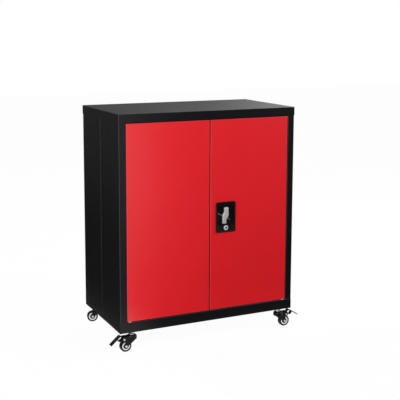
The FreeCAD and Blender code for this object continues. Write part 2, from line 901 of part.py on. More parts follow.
def cam_plate():
    """The cam behind the door: a tongue that hooks the left door, a lug for the lock and two rod pins."""
    span = (cam_front, cam_back)
    disc = round_bar(cam_radius, (handle_x, handle_z), span, "Y")
    half = cam_tongue_width / 2
    tip = handle_z + cam_tongue_length
    tongue = slab([(handle_x - half, handle_z, 0), (handle_x + half, handle_z, 0),
                   (handle_x + half, tip, cam_tip_round), (handle_x - half, tip, cam_tip_lead)], "XZ", span)
    lug_half = cam_lug_width / 2
    lug = slab([(-lug_half, 0, 0), (-lug_half, -cam_lug_radius, cam_lug_round),
                (lug_half, -cam_lug_radius, cam_lug_round), (lug_half, 0, 0)], "XZ", span)
    lug.rotate(Vec(0, 0, 0), Vec(0, 1, 0), 45)
    lug.translate(Vec(handle_x, 0, handle_z))
    pieces = [disc, tongue, lug]
    for place in crank_places():
        pieces.append(round_bar(crank_pin_radius, place, (cam_front, rod_back + guide_gap), "Y"))
        ends = (rod_back + guide_gap, rod_back + guide_gap + crank_head_height)
        pieces.append(round_bar(crank_head_radius, place, ends, "Y"))
    hole = spindle_square / 2 + running_gap
    square = block((handle_x - hole, handle_x + hole), (cam_front - overrun, cam_back + overrun),
                   (handle_z - hole, handle_z + hole))
    return fused(pieces).cut(square)


def cam_screw():
    head = round_bar(cam_screw_head_radius, (handle_x, handle_z),
                     (cam_back, cam_back + cam_screw_head_height), "Y")
    shank = round_bar(cam_screw_radius, (handle_x, handle_z), (cam_back - cam_screw_length, cam_back), "Y")
    return fused([head, shank])


def bolt_rod(up):
    """A flat rod with a slotted foot on the cam's pin; up is 1 for the upper rod and -1 for the lower."""
    x = handle_x + up * rod_offset
    pin_z = handle_z - up * crank_offset
    tip = header_step - rod_end_gap if up > 0 else floor + rod_end_gap
    half = rod_width / 2
    at_pin = [(x - half, pin_z, 0), (x + half, pin_z, 0)]
    at_tip = [(x + half, tip, rod_taper), (x - half, tip, rod_taper)]
    corners = at_pin + at_tip if up > 0 else at_tip[::-1] + at_pin[::-1]
    bar = slab(corners, "XZ", (rod_front, rod_back))
    foot_x = rod_slot_half_width + rod_slot_wall
    foot_z = rod_slot_half_height + rod_slot_wall
    foot = slab(oblong(x, pin_z, foot_x, foot_z, rod_foot_round), "XZ", (rod_front, rod_back))
    slot_round = rod_slot_half_height - slot_end_flat
    slot = slab(oblong(x, pin_z, rod_slot_half_width, rod_slot_half_height, slot_round), "XZ",
                (rod_front - overrun, rod_back + overrun))
    return fused([bar, foot]).cut(slot)


def rod_guides():
    """A bridge on each end lip of the right door, around its rod."""
    guides = []
    for up in (1, -1):
        x = handle_x + up * rod_offset
        edge = door_top - door_end_lip if up > 0 else door_bottom + door_end_lip
        span = sorted([edge, edge + up * guide_height])
        half = rod_width / 2 + guide_gap
        outer = half + guide_wall
        body = block((x - outer, x + outer), (door_back, rod_back + guide_gap + guide_wall), span)
        foot = block((x - outer - guide_foot, x + outer + guide_foot),
                     (door_back, door_back + guide_wall), span)
        window = block((x - half, x + half), (rod_front - guide_gap, rod_back + guide_gap),
                       (span[0] - overrun, span[1] + overrun))
        guides.append(fused([body, foot]).cut(window))
    return Part.makeCompound(guides)


def lock_barrel():
    """The fixed sleeve of the key lock."""
    head = round_bar(barrel_head_radius, (handle_x, lock_z),
                     (plate_front - barrel_head_height, plate_front), "Y")
    sleeve = round_bar(barrel_radius, (handle_x, lock_z), (plate_front, cam_front - cam_gap), "Y")
    bore = round_bar(plug_radius + running_gap, (handle_x, lock_z), (plug_front - overrun, cam_front), "Y")
    return fused([head, sleeve]).cut(bore)


def lock_plug():
    """The turning plug with its keyway, and the tail that carries the tab."""
    plug = round_bar(plug_radius, (handle_x, lock_z), (plug_front, cam_front), "Y")
    tail = round_bar(plug_tail_radius, (handle_x, lock_z), (cam_front, cam_back + plug_tail_end), "Y")
    keyway = block((handle_x - keyway_width / 2, handle_x + keyway_width / 2),
                   (plug_front - overrun, plug_front + keyway_depth),
                   (lock_z - keyway_height / 2, lock_z + keyway_height / 2))
    return fused([plug, tail]).cut(keyway)


def lock_tab():
    """The tab on the plug's tail: sideways it lets the cam's lug pass, upright it stops it."""
    half = tab_width / 2
    blade = slab([(handle_x - half, lock_z - half, tab_heel_round),
                  (handle_x + tab_length, lock_z - half, tab_tip_round),
                  (handle_x + tab_length, lock_z + half, tab_tip_round),
                  (handle_x - half, lock_z + half, tab_heel_round)], "XZ", (cam_front, cam_back))
    return blade.cut(round_bar(plug_tail_radius + running_gap, (handle_x, lock_z),
                               (cam_front - overrun, cam_back + overrun), "Y"))


# --- Casters, built with the stem on the vertical axis and the wheel trailing towards +X ---------------
def placed(shape, corner):
    """A caster piece swung to its trail and moved under its corner of the body."""
    x, y, azimuth = corner
    shape.rotate(Vec(0, 0, 0), Vec(0, 0, 1), azimuth)
    shape.translate(Vec(x, y, 0))
    return shape


def on_axle(shape):
    """A piece turned about Z laid over so that it turns about the wheel's axle."""
    shape.rotate(Vec(0, 0, 0), Vec(1, 0, 0), 90)
    shape.translate(Vec(caster_trail, 0, wheel_radius))
    return shape


def caster_stem():
    """Threaded stem, raceway washer and kingpin head in one turned piece."""
    thread_top = bottom + sheet + caster_plate_thickness + weld_nut_height + thread_end
    head_top = crown_top - fork_sheet - swivel_gap
    return turned([
        (0, head_top - kingpin_head_height, 0),
        (kingpin_head_radius, head_top - kingpin_head_height, 0),
        (kingpin_head_radius, head_top, 0),
        (stem_radius - running_gap, head_top, 0),
        (stem_radius - running_gap, race_top - race_height, 0),
        (race_radius, race_top - race_height, 0),
        (race_radius, race_top, 0),
        (stem_radius - running_gap, race_top, 0),
        (stem_radius - running_gap, thread_top - thread_chamfer, 0),
        (stem_radius - running_gap - thread_chamfer, thread_top, 0),
        (0, thread_top, 0),
    ])


def stem_nuts():
    corners = list(front_caster.values()) + list(rear_caster.values())
    ends = (race_top, bottom)
    return Part.makeCompound([hexagon(stem_nut_flats, (x, y), ends, stem_radius) for x, y, _ in corners])


def caster_fork(braked):
    """A pressed crown and two legs that reach back to the axle."""
    skirt = crown_top - crown_height
    inner = crown_radius - fork_sheet
    crown = turned([
        (stem_radius, crown_top, 0),
        (crown_radius, crown_top, crown_shoulder),
        (crown_radius, skirt, 0),
        (inner, skirt, 0),
        (inner, crown_top - fork_sheet, crown_shoulder - fork_sheet),
        (stem_radius, crown_top - fork_sheet, 0),
    ])
    leg_rear = brake_pivot_x + leg_lobe if braked else crown_radius + plain_leg_reach
    leg_front = -math.sqrt(inner ** 2 - leg_inner ** 2)
    waist = (caster_trail + leg_waist, wheel_radius + leg_waist_rise)
    corners = [
        (leg_front, crown_top - crown_shoulder, 0),
        (leg_root, crown_top - leg_drop, 0),
        (leg_rear, crown_top - leg_drop, leg_corner),
        (leg_rear, brake_pivot_z - leg_corner, leg_corner),
        (*waist, leg_corner),
        (caster_trail + leg_boss / 2, wheel_radius, 0),
        (caster_trail - leg_boss, wheel_radius, 0),
        (leg_front, skirt, 0),
    ]
    pieces = [crown]
    for span in ((-leg_outer, -leg_inner), (leg_inner, leg_outer)):
        pieces.append(slab(corners, "XZ", span))
        pieces.append(round_bar(leg_boss, (caster_trail, wheel_radius), span, "Y"))
    shape = fused(pieces)
    across = (-leg_outer - overrun, leg_outer + overrun)
    shape = shape.cut(round_bar(axle_radius + running_gap, (caster_trail, wheel_radius), across, "Y"))
    if braked:
        shape = shape.cut(round_bar(brake_pin_radius + running_gap, (brake_pivot_x, brake_pivot_z),
                                    across, "Y"))
    return shape


def headed_pin(radius, head_radius, head_height, x, z):
    """A pin across the fork's legs with a head outside each."""
    shank = round_bar(radius, (x, z), (-leg_outer, leg_outer), "Y")
    heads = [round_bar(head_radius, (x, z), span, "Y")
             for span in ((-leg_outer - head_height, -leg_outer), (leg_outer, leg_outer + head_height))]
    return fused([heads[0], shank, heads[1]])


def caster_pins(braked):
    """The axle and, on a braked caster, the brake's pivot pin."""
    axle = headed_pin(axle_radius, axle_head_radius, axle_head_height, caster_trail, wheel_radius)
    if not braked:
        return axle
    pivot = headed_pin(brake_pin_radius, brake_pin_head_radius, brake_pin_head_height,
                       brake_pivot_x, brake_pivot_z)
    return Part.makeCompound([axle, pivot])


def wheel_rim():
    """The wheel's hub, web and ring."""
    bore = axle_radius + running_gap
    half_web = rim_web / 2
    half_ring = rim_width / 2
    return on_axle(turned([
        (bore, -hub_half, 0), (rim_hub_radius, -hub_half, 0), (rim_hub_radius, -half_web, 0),
        (rim_ring_inner, -half_web, 0), (rim_ring_inner, -half_ring, 0), (rim_radius, -half_ring, 0),
        (rim_radius, half_ring, 0), (rim_ring_inner, half_ring, 0), (rim_ring_inner, half_web, 0),
        (rim_hub_radius, half_web, 0), (rim_hub_radius, hub_half, 0), (bore, hub_half, 0),
    ]))


def tyre():
    half = tyre_width / 2
    return on_axle(turned([
        (rim_radius, -half, 0), (wheel_radius, -half, tyre_shoulder),
        (wheel_radius, half, tyre_shoulder), (rim_radius, half, 0),
    ]))


def brake_pedal(pressed):
    """The pedal with its ribs, the link that braces it, its pad and the eye on the brake's pivot pin."""
    arm_start = (brake_pivot_x - brake_eye_radius / 2, brake_pivot_z + brake_eye_radius - pedal_thickness / 2)
    root = (pedal_root_x, bottom - pedal_root_drop)
    tip = (pedal_tip_x, bottom - pedal_tip_drop)
    tread = fold([arm_start, root, tip], 1, pedal_thickness, pedal_bend)
    plate = slab(tread, "XZ", (-pedal_width / 2, pedal_width / 2))
    for side in (-1, 1):
        beside = sorted([side * pedal_arm_width / 2, side * pedal_width])
        plate = plate.cut(block((0, pedal_root_x - pedal_shoulder), beside, (0, bottom)))
    slope = math.atan2(root[1] - tip[1], tip[0] - root[0])
    length = math.hypot(tip[0] - root[0], tip[1] - root[1])
    pieces = [plate]
    rib_half = pedal_width / 2 - rib_side_gap
    for along in evenly(length * rib_start_share, length - rib_tip_gap, pedal_rib_count):
        rib = block((along - rib_width / 2, along + rib_width / 2), (-rib_half, rib_half),
                    (pedal_thickness - rib_root, pedal_thickness + rib_height))
        rib.rotate(Vec(0, 0, 0), Vec(0, 1, 0), math.degrees(slope))
        rib.translate(Vec(root[0], 0, root[1]))
        pieces.append(rib)
    link_path = [
        (brake_pivot_x + link_start, brake_pivot_z),
        (link_low_x, bottom - link_low_drop),
        (link_end_x, bottom - link_end_drop),
    ]
    arm_span = (-pedal_arm_width / 2, pedal_arm_width / 2)
    pieces.append(slab(fold(link_path, 1, link_thickness, pedal_bend), "XZ", arm_span))
    pieces.append(round_bar(brake_eye_radius, (brake_pivot_x, brake_pivot_z), (-hub_half, hub_half), "Y"))
    pad_span = (pad_start_x, pad_start_x + pad_length)
    pad = block(pad_span, (-pad_width / 2, pad_width / 2), (wheel_radius, brake_pivot_z))
    pad = pad.cut(round_bar(wheel_radius + pad_gap, (caster_trail, wheel_radius),
                            (-pad_width, pad_width), "Y"))
    shape = fused(pieces + [pad])
    pin = round_bar(brake_pin_radius + running_gap, (brake_pivot_x, brake_pivot_z),
                    (-leg_outer, leg_outer), "Y")
    shape = shape.cut(pin)
    if not pressed:
        shape.rotate(Vec(brake_pivot_x, 0, brake_pivot_z), Vec(0, 1, 0), -brake_travel)
    return shape


# --- The whole cabinet, by node name --------------------------------------------------------------------
left_front_leaf = pierced_leaf(front_leaf())
left_rear_leaf = screw_holes(pierced_leaf(rear_leaf()))
plain_door = door_blank()

nodes = {
    "top_panel": top_panel(),
    "front_header": front_header(),
    "bottom_panel": bottom_panel(),
    "back_panel": back_panel(),
    "left_side_front_leaf": left_front_leaf,
    "left_side_rear_leaf": left_rear_leaf,
    "right_side_front_leaf": mirrored(left_front_leaf),
    "right_side_rear_leaf": mirrored(left_rear_leaf),
    "seam_rivets": seam_rivets(),
    "back_screws": back_screws(),
    "left_front_upright": shelf_upright(-1, front_upright_y),
    "left_rear_upright": shelf_upright(-1, rear_upright_y),
    "right_front_upright": shelf_upright(1, front_upright_y),
    "right_rear_upright": shelf_upright(1, rear_upright_y),
    "shelf": shelf(),
    "shelf_clips": shelf_clips(),
    "pivot_bushes": pivot_bushes(),
    "door_bumpers": door_bumpers(),
    "caster_plates": caster_plates(),
    "stem_nuts": stem_nuts(),
    "left_door_panel": mirrored(plain_door),
    "left_door_stiffener": mirrored(door_stiffener()),
    "left_pivot_pins": mirrored(pivot_pins()),
    "right_door_panel": handle_cutouts(plain_door),
    "right_door_stiffener": door_stiffener(),
    "right_pivot_pins": pivot_pins(),
    "handle_housing": handle_housing(),
    "housing_nuts": housing_nuts(),
    "rod_guides": rod_guides(),
    "lock_barrel": lock_barrel(),
    "handle_lever": handle_lever(),
    "cam_plate": cam_plate(),
    "cam_screw": cam_screw(),
    "upper_rod": bolt_rod(1),
    "lower_rod": bolt_rod(-1),
    "lock_plug": lock_plug(),
    "lock_tab": lock_tab(),
}

for end, casters, braked in (("front", front_caster, True), ("rear", rear_caster, False)):
    for hand, corner in casters.items():
        name = f"{end}_{hand}_caster"
        nodes[f"{name}_stem"] = placed(caster_stem(), corner)
        nodes[f"{name}_fork"] = placed(caster_fork(braked), corner)
        nodes[f"{name}_pins" if braked else f"{name}_axle"] = placed(caster_pins(braked), corner)
        nodes[f"{name}_rim"] = placed(wheel_rim(), corner)
        nodes[f"{name}_tyre"] = placed(tyre(), corner)

nodes["front_left_brake_pedal"] = placed(brake_pedal(True), front_caster["left"])
nodes["front_right_brake_pedal"] = placed(brake_pedal(False), front_caster["right"])

os.makedirs("parts", exist_ok=True)
for name, shape in nodes.items():
    shape.exportStep(f"parts/{name}.step")
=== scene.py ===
import math

import bmesh
import bpy
import numpy as np
from mathutils import Matrix, Vector


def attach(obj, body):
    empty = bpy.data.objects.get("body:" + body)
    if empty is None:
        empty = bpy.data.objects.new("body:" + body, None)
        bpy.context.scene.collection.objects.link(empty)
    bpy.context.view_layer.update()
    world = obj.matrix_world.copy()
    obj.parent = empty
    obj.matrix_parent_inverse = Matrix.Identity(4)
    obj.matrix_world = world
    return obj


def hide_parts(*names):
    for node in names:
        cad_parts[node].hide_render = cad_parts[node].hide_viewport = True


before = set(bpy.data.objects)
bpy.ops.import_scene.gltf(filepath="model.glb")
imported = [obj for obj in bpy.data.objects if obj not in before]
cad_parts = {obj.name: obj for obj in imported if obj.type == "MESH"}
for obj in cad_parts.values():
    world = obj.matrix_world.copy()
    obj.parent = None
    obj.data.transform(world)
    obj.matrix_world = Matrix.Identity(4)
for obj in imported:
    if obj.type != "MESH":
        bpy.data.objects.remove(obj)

# --- Camera -----------------------------------------------------------------------------------------
# A long lens at the height of the cabinet's top, left of its front, looks slightly down along the doors.
# Its shift keeps the uprights of the cabinet nearly parallel.
bpy.context.view_layer.update()
scene = bpy.context.scene
view_azimuth = math.radians(25.787)
view_down = math.radians(8.166)
view_roll = math.radians(0.216)
camera_place = (-1.50562, -3.22993, 1.23393)

lens = bpy.data.cameras.new("camera")
lens.lens = 79.76
lens.sensor_width = 36.0
lens.shift_y = -0.12
camera = bpy.data.objects.new("camera", lens)
scene.collection.objects.link(camera)
ahead = Vector((math.sin(view_azimuth) * math.cos(view_down), math.cos(view_azimuth) * math.cos(view_down),
                -math.sin(view_down)))
level_right = Vector((math.cos(view_azimuth), -math.sin(view_azimuth), 0))
level_up = level_right.cross(ahead)
camera_right = level_right * math.cos(view_roll) + level_up * math.sin(view_roll)
camera_up = level_up * math.cos(view_roll) - level_right * math.sin(view_roll)
facing = Matrix((camera_right, camera_up, -ahead)).transposed().to_4x4()
camera.matrix_world = Matrix.Translation(camera_place) @ facing
scene.camera = camera
scene.view_settings.view_transform = "Standard"


# --- Studio -----------------------------------------------------------------------------------------
# White paper on the floor and white all round. A soft lamp stands in front on the left, a strong one far to
# the right and one behind. Mirrored cards shade the dark coat: grey at the left and over the back, black in
# front, and a bright strip at the left that draws the corner.
def linear(colour):
    """An sRGB colour, written as #rrggbb, in the linear values that a shader takes."""
    parts = [int(colour[i:i + 2], 16) / 255 for i in (1, 3, 5)]
    return (*[p / 12.92 if p <= 0.04045 else ((p + 0.055) / 1.055) ** 2.4 for p in parts], 1.0)


def add(tree, kind, inputs=None, **settings):
    """Adds a node with its settings, and gives its inputs their values and links."""
    made = tree.nodes.new(kind)
    for name, value in settings.items():
        setattr(made, name, value)
    for name, value in (inputs or {}).items():
        for one in value if isinstance(value, list) else [value]:
            if isinstance(one, bpy.types.NodeSocket):
                tree.links.new(one, made.inputs[name])
            else:
                made.inputs[name].default_value = one
    return made


def new_material(name):
    """A material with an empty tree. If it glows, only the rays that meet it find that, as with a mirror image."""
    material = bpy.data.materials.new(name)
    material.use_nodes = True
    material.cycles.emission_sampling = "NONE"
    material.node_tree.nodes.clear()
    return material, material.node_tree


def seen_directly(tree):
    """1 where the camera, a mirror or a glass sees the background, and 0 where it only lights something."""
    rays = add(tree, "ShaderNodeLightPath").outputs
    mirrored = add(tree, "ShaderNodeMath", {0: rays["Is Camera Ray"], 1: rays["Is Glossy Ray"]}, operation="MAXIMUM")
    both = {0: mirrored.outputs[0], 1: rays["Is Transmission Ray"]}
    return add(tree, "ShaderNodeMath", both, operation="MAXIMUM").outputs[0]


def set_card(name, corners, material):
    """A flat piece of the studio."""
    mesh = bpy.data.meshes.new(name)
    mesh.from_pydata(corners, [], [range(len(corners))])
    mesh.materials.append(material)
    card = bpy.data.objects.new(name, mesh)
    scene.collection.objects.link(card)
    return card


def set_lamp(name, place, aim, size, power):
    """A square soft lamp that faces a point."""
    lamp = bpy.data.lights.new(name, "AREA")
    lamp.shape = "SQUARE"
    lamp.size = size
    lamp.energy = power
    stand = bpy.data.objects.new(name, lamp)
    stand.location = place
    stand.rotation_euler = (Vector(aim) - Vector(place)).to_track_quat("-Z", "Y").to_euler()
    scene.collection.objects.link(stand)


floor_reach = 12
# This share of the floor that the camera sees is its own white, and the rest is lit and takes the shadow.
own_white = 0.97
paper, tree = new_material("white paper sweep")
lit = add(tree, "ShaderNodeBsdfDiffuse", {"Color": linear("#fafafa")})
white = add(tree, "ShaderNodeEmission", {"Color": linear("#ffffff"), "Strength": 1.0})
share = add(tree, "ShaderNodeMath", {0: seen_directly(tree), 1: own_white}, operation="MULTIPLY")
mixed = add(tree, "ShaderNodeMixShader", {0: share.outputs[0], 1: lit.outputs[0], 2: white.outputs[0]})
add(tree, "ShaderNodeOutputMaterial", {"Surface": mixed.outputs[0]})
set_card("floor", [(x * floor_reach, y * floor_reach, 0) for x, y in ((-1, -1), (1, -1), (1, 1), (-1, 1))], paper)

world = bpy.data.worlds.new("studio")
scene.world = world
world.use_nodes = True
world.cycles.sampling_method = "NONE"
world.node_tree.nodes.clear()
tree = world.node_tree
level = add(tree, "ShaderNodeMapRange", {"Value": seen_directly(tree), "To Min": 0.45, "To Max": 1.0})
around = add(tree, "ShaderNodeBackground", {"Color": linear("#ffffff"), "Strength": level.outputs[0]})
add(tree, "ShaderNodeOutputWorld", {"Surface": around.outputs[0]})

black_card, tree = new_material("black card")
matt = add(tree, "ShaderNodeBsdfDiffuse", {"Color": linear("#050505")})
add(tree, "ShaderNodeOutputMaterial", {"Surface": matt.outputs[0]})

strip_light, tree = new_material("strip light behind paper")
glow = add(tree, "ShaderNodeEmission", {"Color": linear("#ffffff"), "Strength": 4.0})
add(tree, "ShaderNodeOutputMaterial", {"Surface": glow.outputs[0]})


def shaded_card(name, axis, span, greys, change):
    """A card that changes along an axis, over this span of metres, from the first grey to the second."""
    material, tree = new_material(name)
    place = add(tree, "ShaderNodeSeparateXYZ", {"Vector": add(tree, "ShaderNodeTexCoord").outputs["Object"]})
    grey = add(tree, "ShaderNodeMapRange", {
        "Value": place.outputs[axis], "From Min": span[0], "From Max": span[1], "To Min": greys[0],
        "To Max": greys[1]}, interpolation_type=change)
    glow = add(tree, "ShaderNodeEmission", {"Color": linear("#ffffff"), "Strength": grey.outputs[0]})
    add(tree, "ShaderNodeOutputMaterial", {"Surface": glow.outputs[0]})
    return material


def upright(start, end, low, high):
    """The corners of a card that stands over a line on the floor."""
    return [(*start, low), (*end, low), (*end, high), (*start, high)]


def lying(*outline, height=0.001):
    """The corners of a card that lies just over the floor."""
    return [(x, y, height) for x, y in outline]


left_grey = shaded_card("dark grey card, darker at its foot", "Z", (0.0, 0.45), (0.02, 0.09), "LINEAR")
back_grey = shaded_card("grey card, paler to the right", "X", (0.6, 1.45), (0.18, 0.65), "SMOOTHSTEP")
for name, material, corners in (
    ("left_card", left_grey, upright((-1.1, 0.1), (-1.1, 9.0), 0.0, 1.8)),
    ("left_ground_card", left_grey, lying((-0.41, -0.1), (-0.41, 9.0), (-6, 9.0), (-6, 1.5))),
    ("front_card", black_card, upright((0.15, -1.3), (5.0, -1.3), 0.0, 2.2)),
    ("front_ground_card", black_card, lying((-0.16, -0.32), (1.2, -0.32), (9, -8), (3.4, -8), (0.36, -2.2),
                                            (-0.04, -1.25), (-0.2, -0.7))),
    ("back_card", back_grey, upright((-1.5, 1.2), (4.0, 1.2), 0.92, 2.2)),
    ("corner_strip", strip_light, upright((-2.6, -1.6), (-2.6, -0.6), 0.0, 2.2)),
):
    card = set_card(name, corners, material)
    card.visible_camera = False
    card.visible_diffuse = name.startswith("front")
    card.visible_transmission = False
    card.visible_shadow = False

set_lamp("key_lamp", (-1.9, -2.1, 1.9), aim=(-0.1, -0.2, 0.5), size=1.4, power=38.5)
set_lamp("fill_lamp", (3.0, -1.9, 2.0), aim=(0.5, -0.2, 0.0), size=1.4, power=116)
set_lamp("back_lamp", (1.6, 1.8, 2.6), aim=(0.1, 0.0, 0.9), size=1.4, power=32)


# --- Base tray --------------------------------------------------------------------------------------
# The floor of the cabinet: one sheet folded into the front band, the sill, the raised floor and the rear
# upstand. Mild steel, sprayed with black powder and baked.
mm = 0.001


def powder_coat(name, colour, deep, fold_highlight, gap_shade, gloss=0.3, shine=0.27):
    """Baked powder coat: even colour under a soft sheen and orange peel, with a painted highlight on the folds and
    painted shade in the gaps.
    """
    material, tree = new_material(name)
    where = add(tree, "ShaderNodeTexCoord").outputs
    place = where["Object"]
    facing = add(tree, "ShaderNodeVectorMath", {0: where["Normal"]}, operation="ABSOLUTE").outputs[0]
    shares = add(tree, "ShaderNodeSeparateXYZ", {"Vector": facing}).outputs
    sideways = add(tree, "ShaderNodeMath", {0: shares[0], 1: shares[1]}, operation="MAXIMUM").outputs[0]
    squarest = add(tree, "ShaderNodeMath", {0: sideways, 1: shares[2]}, operation="MAXIMUM").outputs[0]
    # Painted highlight: where the surface turns away from all three axes, on the folds, the coat takes the paler fold
    # colour.
    fold_highlight_mask = add(tree, "ShaderNodeMapRange", {"Value": squarest, "From Min": 0.99, "From Max": 0.9})
    cloud = add(tree, "ShaderNodeTexNoise", {"Vector": place, "Scale": 1 / (140 * mm), "Detail": 3.0})
    skin = add(tree, "ShaderNodeTexNoise", {"Vector": place, "Scale": 1 / (1.6 * mm), "Detail": 2.0})
    handled = add(tree, "ShaderNodeTexNoise", {"Vector": place, "Scale": 1 / (60 * mm), "Detail": 2.0})
    tone = add(tree, "ShaderNodeMix", {"Factor": cloud.outputs[0], "A": linear(colour), "B": linear(deep)},
               data_type="RGBA")
    tone = add(tree, "ShaderNodeMix", {"Factor": fold_highlight_mask.outputs[0], "A": tone.outputs["Result"], "B": linear(fold_highlight)},
               data_type="RGBA")
    # Painted shade: where ambient occlusion within 8 mm finds a gap or an inside corner, the coat darkens towards the
    # gap colour.
    open_sky = add(tree, "ShaderNodeAmbientOcclusion", {"Distance": 8 * mm}, samples=6).outputs["AO"]
    gap_shade_mask = add(tree, "ShaderNodeMapRange", {"Value": open_sky, "From Min": 0.65, "From Max": 0.42})
    tone = add(tree, "ShaderNodeMix", {"Factor": gap_shade_mask.outputs[0], "A": tone.outputs["Result"], "B": linear(gap_shade)},
               data_type="RGBA")
    uneven = 0.015
    sheen = add(tree, "ShaderNodeMapRange", {"Value": handled.outputs[0], "From Min": 0.2, "From Max": 0.8,
                                             "To Min": gloss - uneven, "To Max": gloss + uneven})
    dimples = add(tree, "ShaderNodeBump", {"Height": skin.outputs[0], "Strength": 0.05, "Distance": 0.15 * mm})
    coat = add(tree, "ShaderNodeBsdfPrincipled", {
        "Base Color": tone.outputs["Result"], "Roughness": sheen.outputs[0], "IOR": 1.5, "Specular IOR Level": shine,
        "Normal": dimples.outputs[0]})
    add(tree, "ShaderNodeOutputMaterial", {"Surface": coat.outputs[0]})
    return material


def dress(material, *nodes):
    """Gives these pieces of the model one finish."""
    for name in nodes:
        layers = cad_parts[name].data.materials
        layers.clear()
        layers.append(material)


# Its last two colours are a painted highlight on the folds and painted shade in the gaps.
black_powder = powder_coat("black powder coat on steel", "#0d0d0f", "#111114", "#343438", "#050505")
dress(black_powder, "bottom_panel")


# --- Side panels ------------------------------------------------------------------------------------
# Each side is two folded leaves. The front one turns the corner into the door stile and has a shallow
# crease; both are flanged inwards where they meet at mid-depth, with one round hole high in the seam.
dress(black_powder, "left_side_front_leaf", "left_side_rear_leaf", "right_side_front_leaf", "right_side_rear_leaf")


# --- Seam rivets ------------------------------------------------------------------------------------
# Steel blind rivets, zinc plated, set through both seam flanges inside the cabinet, four on each side.
# Plating leaves a bright, slightly cloudy grey with a trace of blue. Its scratches are drawn wide, to show.
def zinc_plate(name, colour, cloudy, roughness):
    """Zinc plate on steel: a clear metallic grey, clouded where the bath ran off and finely scratched."""
    material, tree = new_material(name)
    place = add(tree, "ShaderNodeTexCoord").outputs["Object"]
    cloud = add(tree, "ShaderNodeTexNoise", {"Vector": place, "Scale": 1 / (7 * mm), "Detail": 3.0})
    long_way = add(tree, "ShaderNodeMapping", {"Vector": place, "Scale": (1.0, 1.0, 0.12)})
    scratch = add(tree, "ShaderNodeTexNoise", {"Vector": long_way.outputs[0], "Scale": 1 / (0.8 * mm), "Detail": 2.0})
    tone = add(tree, "ShaderNodeMix", {"Factor": cloud.outputs[0], "A": linear(colour), "B": linear(cloudy)},
               data_type="RGBA")
    dull = add(tree, "ShaderNodeMapRange", {"Value": cloud.outputs[0], "From Min": 0.3, "From Max": 0.7,
                                            "To Min": roughness - 0.06, "To Max": roughness + 0.08})
    marks = add(tree, "ShaderNodeBump", {"Height": scratch.outputs[0], "Strength": 0.08, "Distance": 0.05 * mm})
    metal = add(tree, "ShaderNodeBsdfPrincipled", {
        "Base Color": tone.outputs["Result"], "Metallic": 1.0, "Roughness": dull.outputs[0],
        "Normal": marks.outputs[0]})
    add(tree, "ShaderNodeOutputMaterial", {"Surface": metal.outputs[0]})
    return material


def new_tree(name, sizes):
    """A geometry tree with an input for its places, for each size, for the way it points and for its finish."""
    tree = bpy.data.node_groups.new(name, "GeometryNodeTree")
    tree.interface.new_socket("Geometry", in_out="OUTPUT", socket_type="NodeSocketGeometry")
    tree.interface.new_socket("Places", in_out="INPUT", socket_type="NodeSocketGeometry")
    for size, value in sizes.items():
        tree.interface.new_socket(size, in_out="INPUT", socket_type="NodeSocketFloat").default_value = value
    tree.interface.new_socket("Axis", in_out="INPUT", socket_type="NodeSocketVector")
    tree.interface.new_socket("Finish", in_out="INPUT", socket_type="NodeSocketMaterial")
    return tree, add(tree, "NodeGroupInput").outputs


def scaled(tree, shape, x, y, z, rise=0.0):
    """The shape stretched by the sizes that come in, and raised along its axis."""
    stretch = add(tree, "ShaderNodeCombineXYZ", {0: x, 1: y, 2: z})
    lift = add(tree, "ShaderNodeCombineXYZ", {2: rise})
    return add(tree, "GeometryNodeTransform", {
        "Geometry": shape, "Scale": stretch.outputs[0], "Translation": lift.outputs[0]}).outputs[0]


def stand_at_places(tree, inputs, shape):
    """Ends a tree: the shape at each place, along the axis, as real geometry in its finish."""
    turn = add(tree, "FunctionNodeAlignRotationToVector", {"Vector": inputs["Axis"]}, axis="Z")
    copies = add(tree, "GeometryNodeInstanceOnPoints", {
        "Points": inputs["Places"], "Instance": shape, "Rotation": turn.outputs[0]})
    real = add(tree, "GeometryNodeRealizeInstances", {"Geometry": copies.outputs[0]})
    finished = add(tree, "GeometryNodeSetMaterial", {"Geometry": real.outputs[0], "Material": inputs["Finish"]})
    add(tree, "NodeGroupOutput", {"Geometry": finished.outputs[0]})


def settled(piece, body, slot, *stands_for):
    """The piece as one plain mesh with crisp edges, tied to what it moves with and what it stands for."""
    bpy.context.view_layer.update()
    final = bpy.data.meshes.new_from_object(piece.evaluated_get(bpy.context.evaluated_depsgraph_get()))
    piece.modifiers.clear()
    piece.data = final
    final.shade_smooth()
    final.set_sharp_from_angle(angle=math.radians(32))
    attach(piece, body)
    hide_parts(*stands_for)


def new_piece(name, vertices, faces=()):
    """An object at the origin with its place in its mesh."""
    mesh = bpy.data.meshes.new(name)
    mesh.from_pydata(vertices, [], faces)
    piece = bpy.data.objects.new(name, mesh)
    scene.collection.objects.link(piece)
    return piece


def grown(name, tree, places, values, body, slot, *stands_for):
    """What a tree grows at these places, as one plain mesh."""
    piece = new_piece(name, places)
    growth = piece.modifiers.new(tree.name, "NODES")
    growth.node_group = tree
    for item in tree.interface.items_tree:
        if item.in_out == "INPUT" and item.name in values:
            growth[item.identifier] = values[item.name]
    settled(piece, body, slot, *stands_for)


zinc = zinc_plate("bright zinc plate on steel", "#d6d8dc", "#bfc3ca", roughness=0.28)

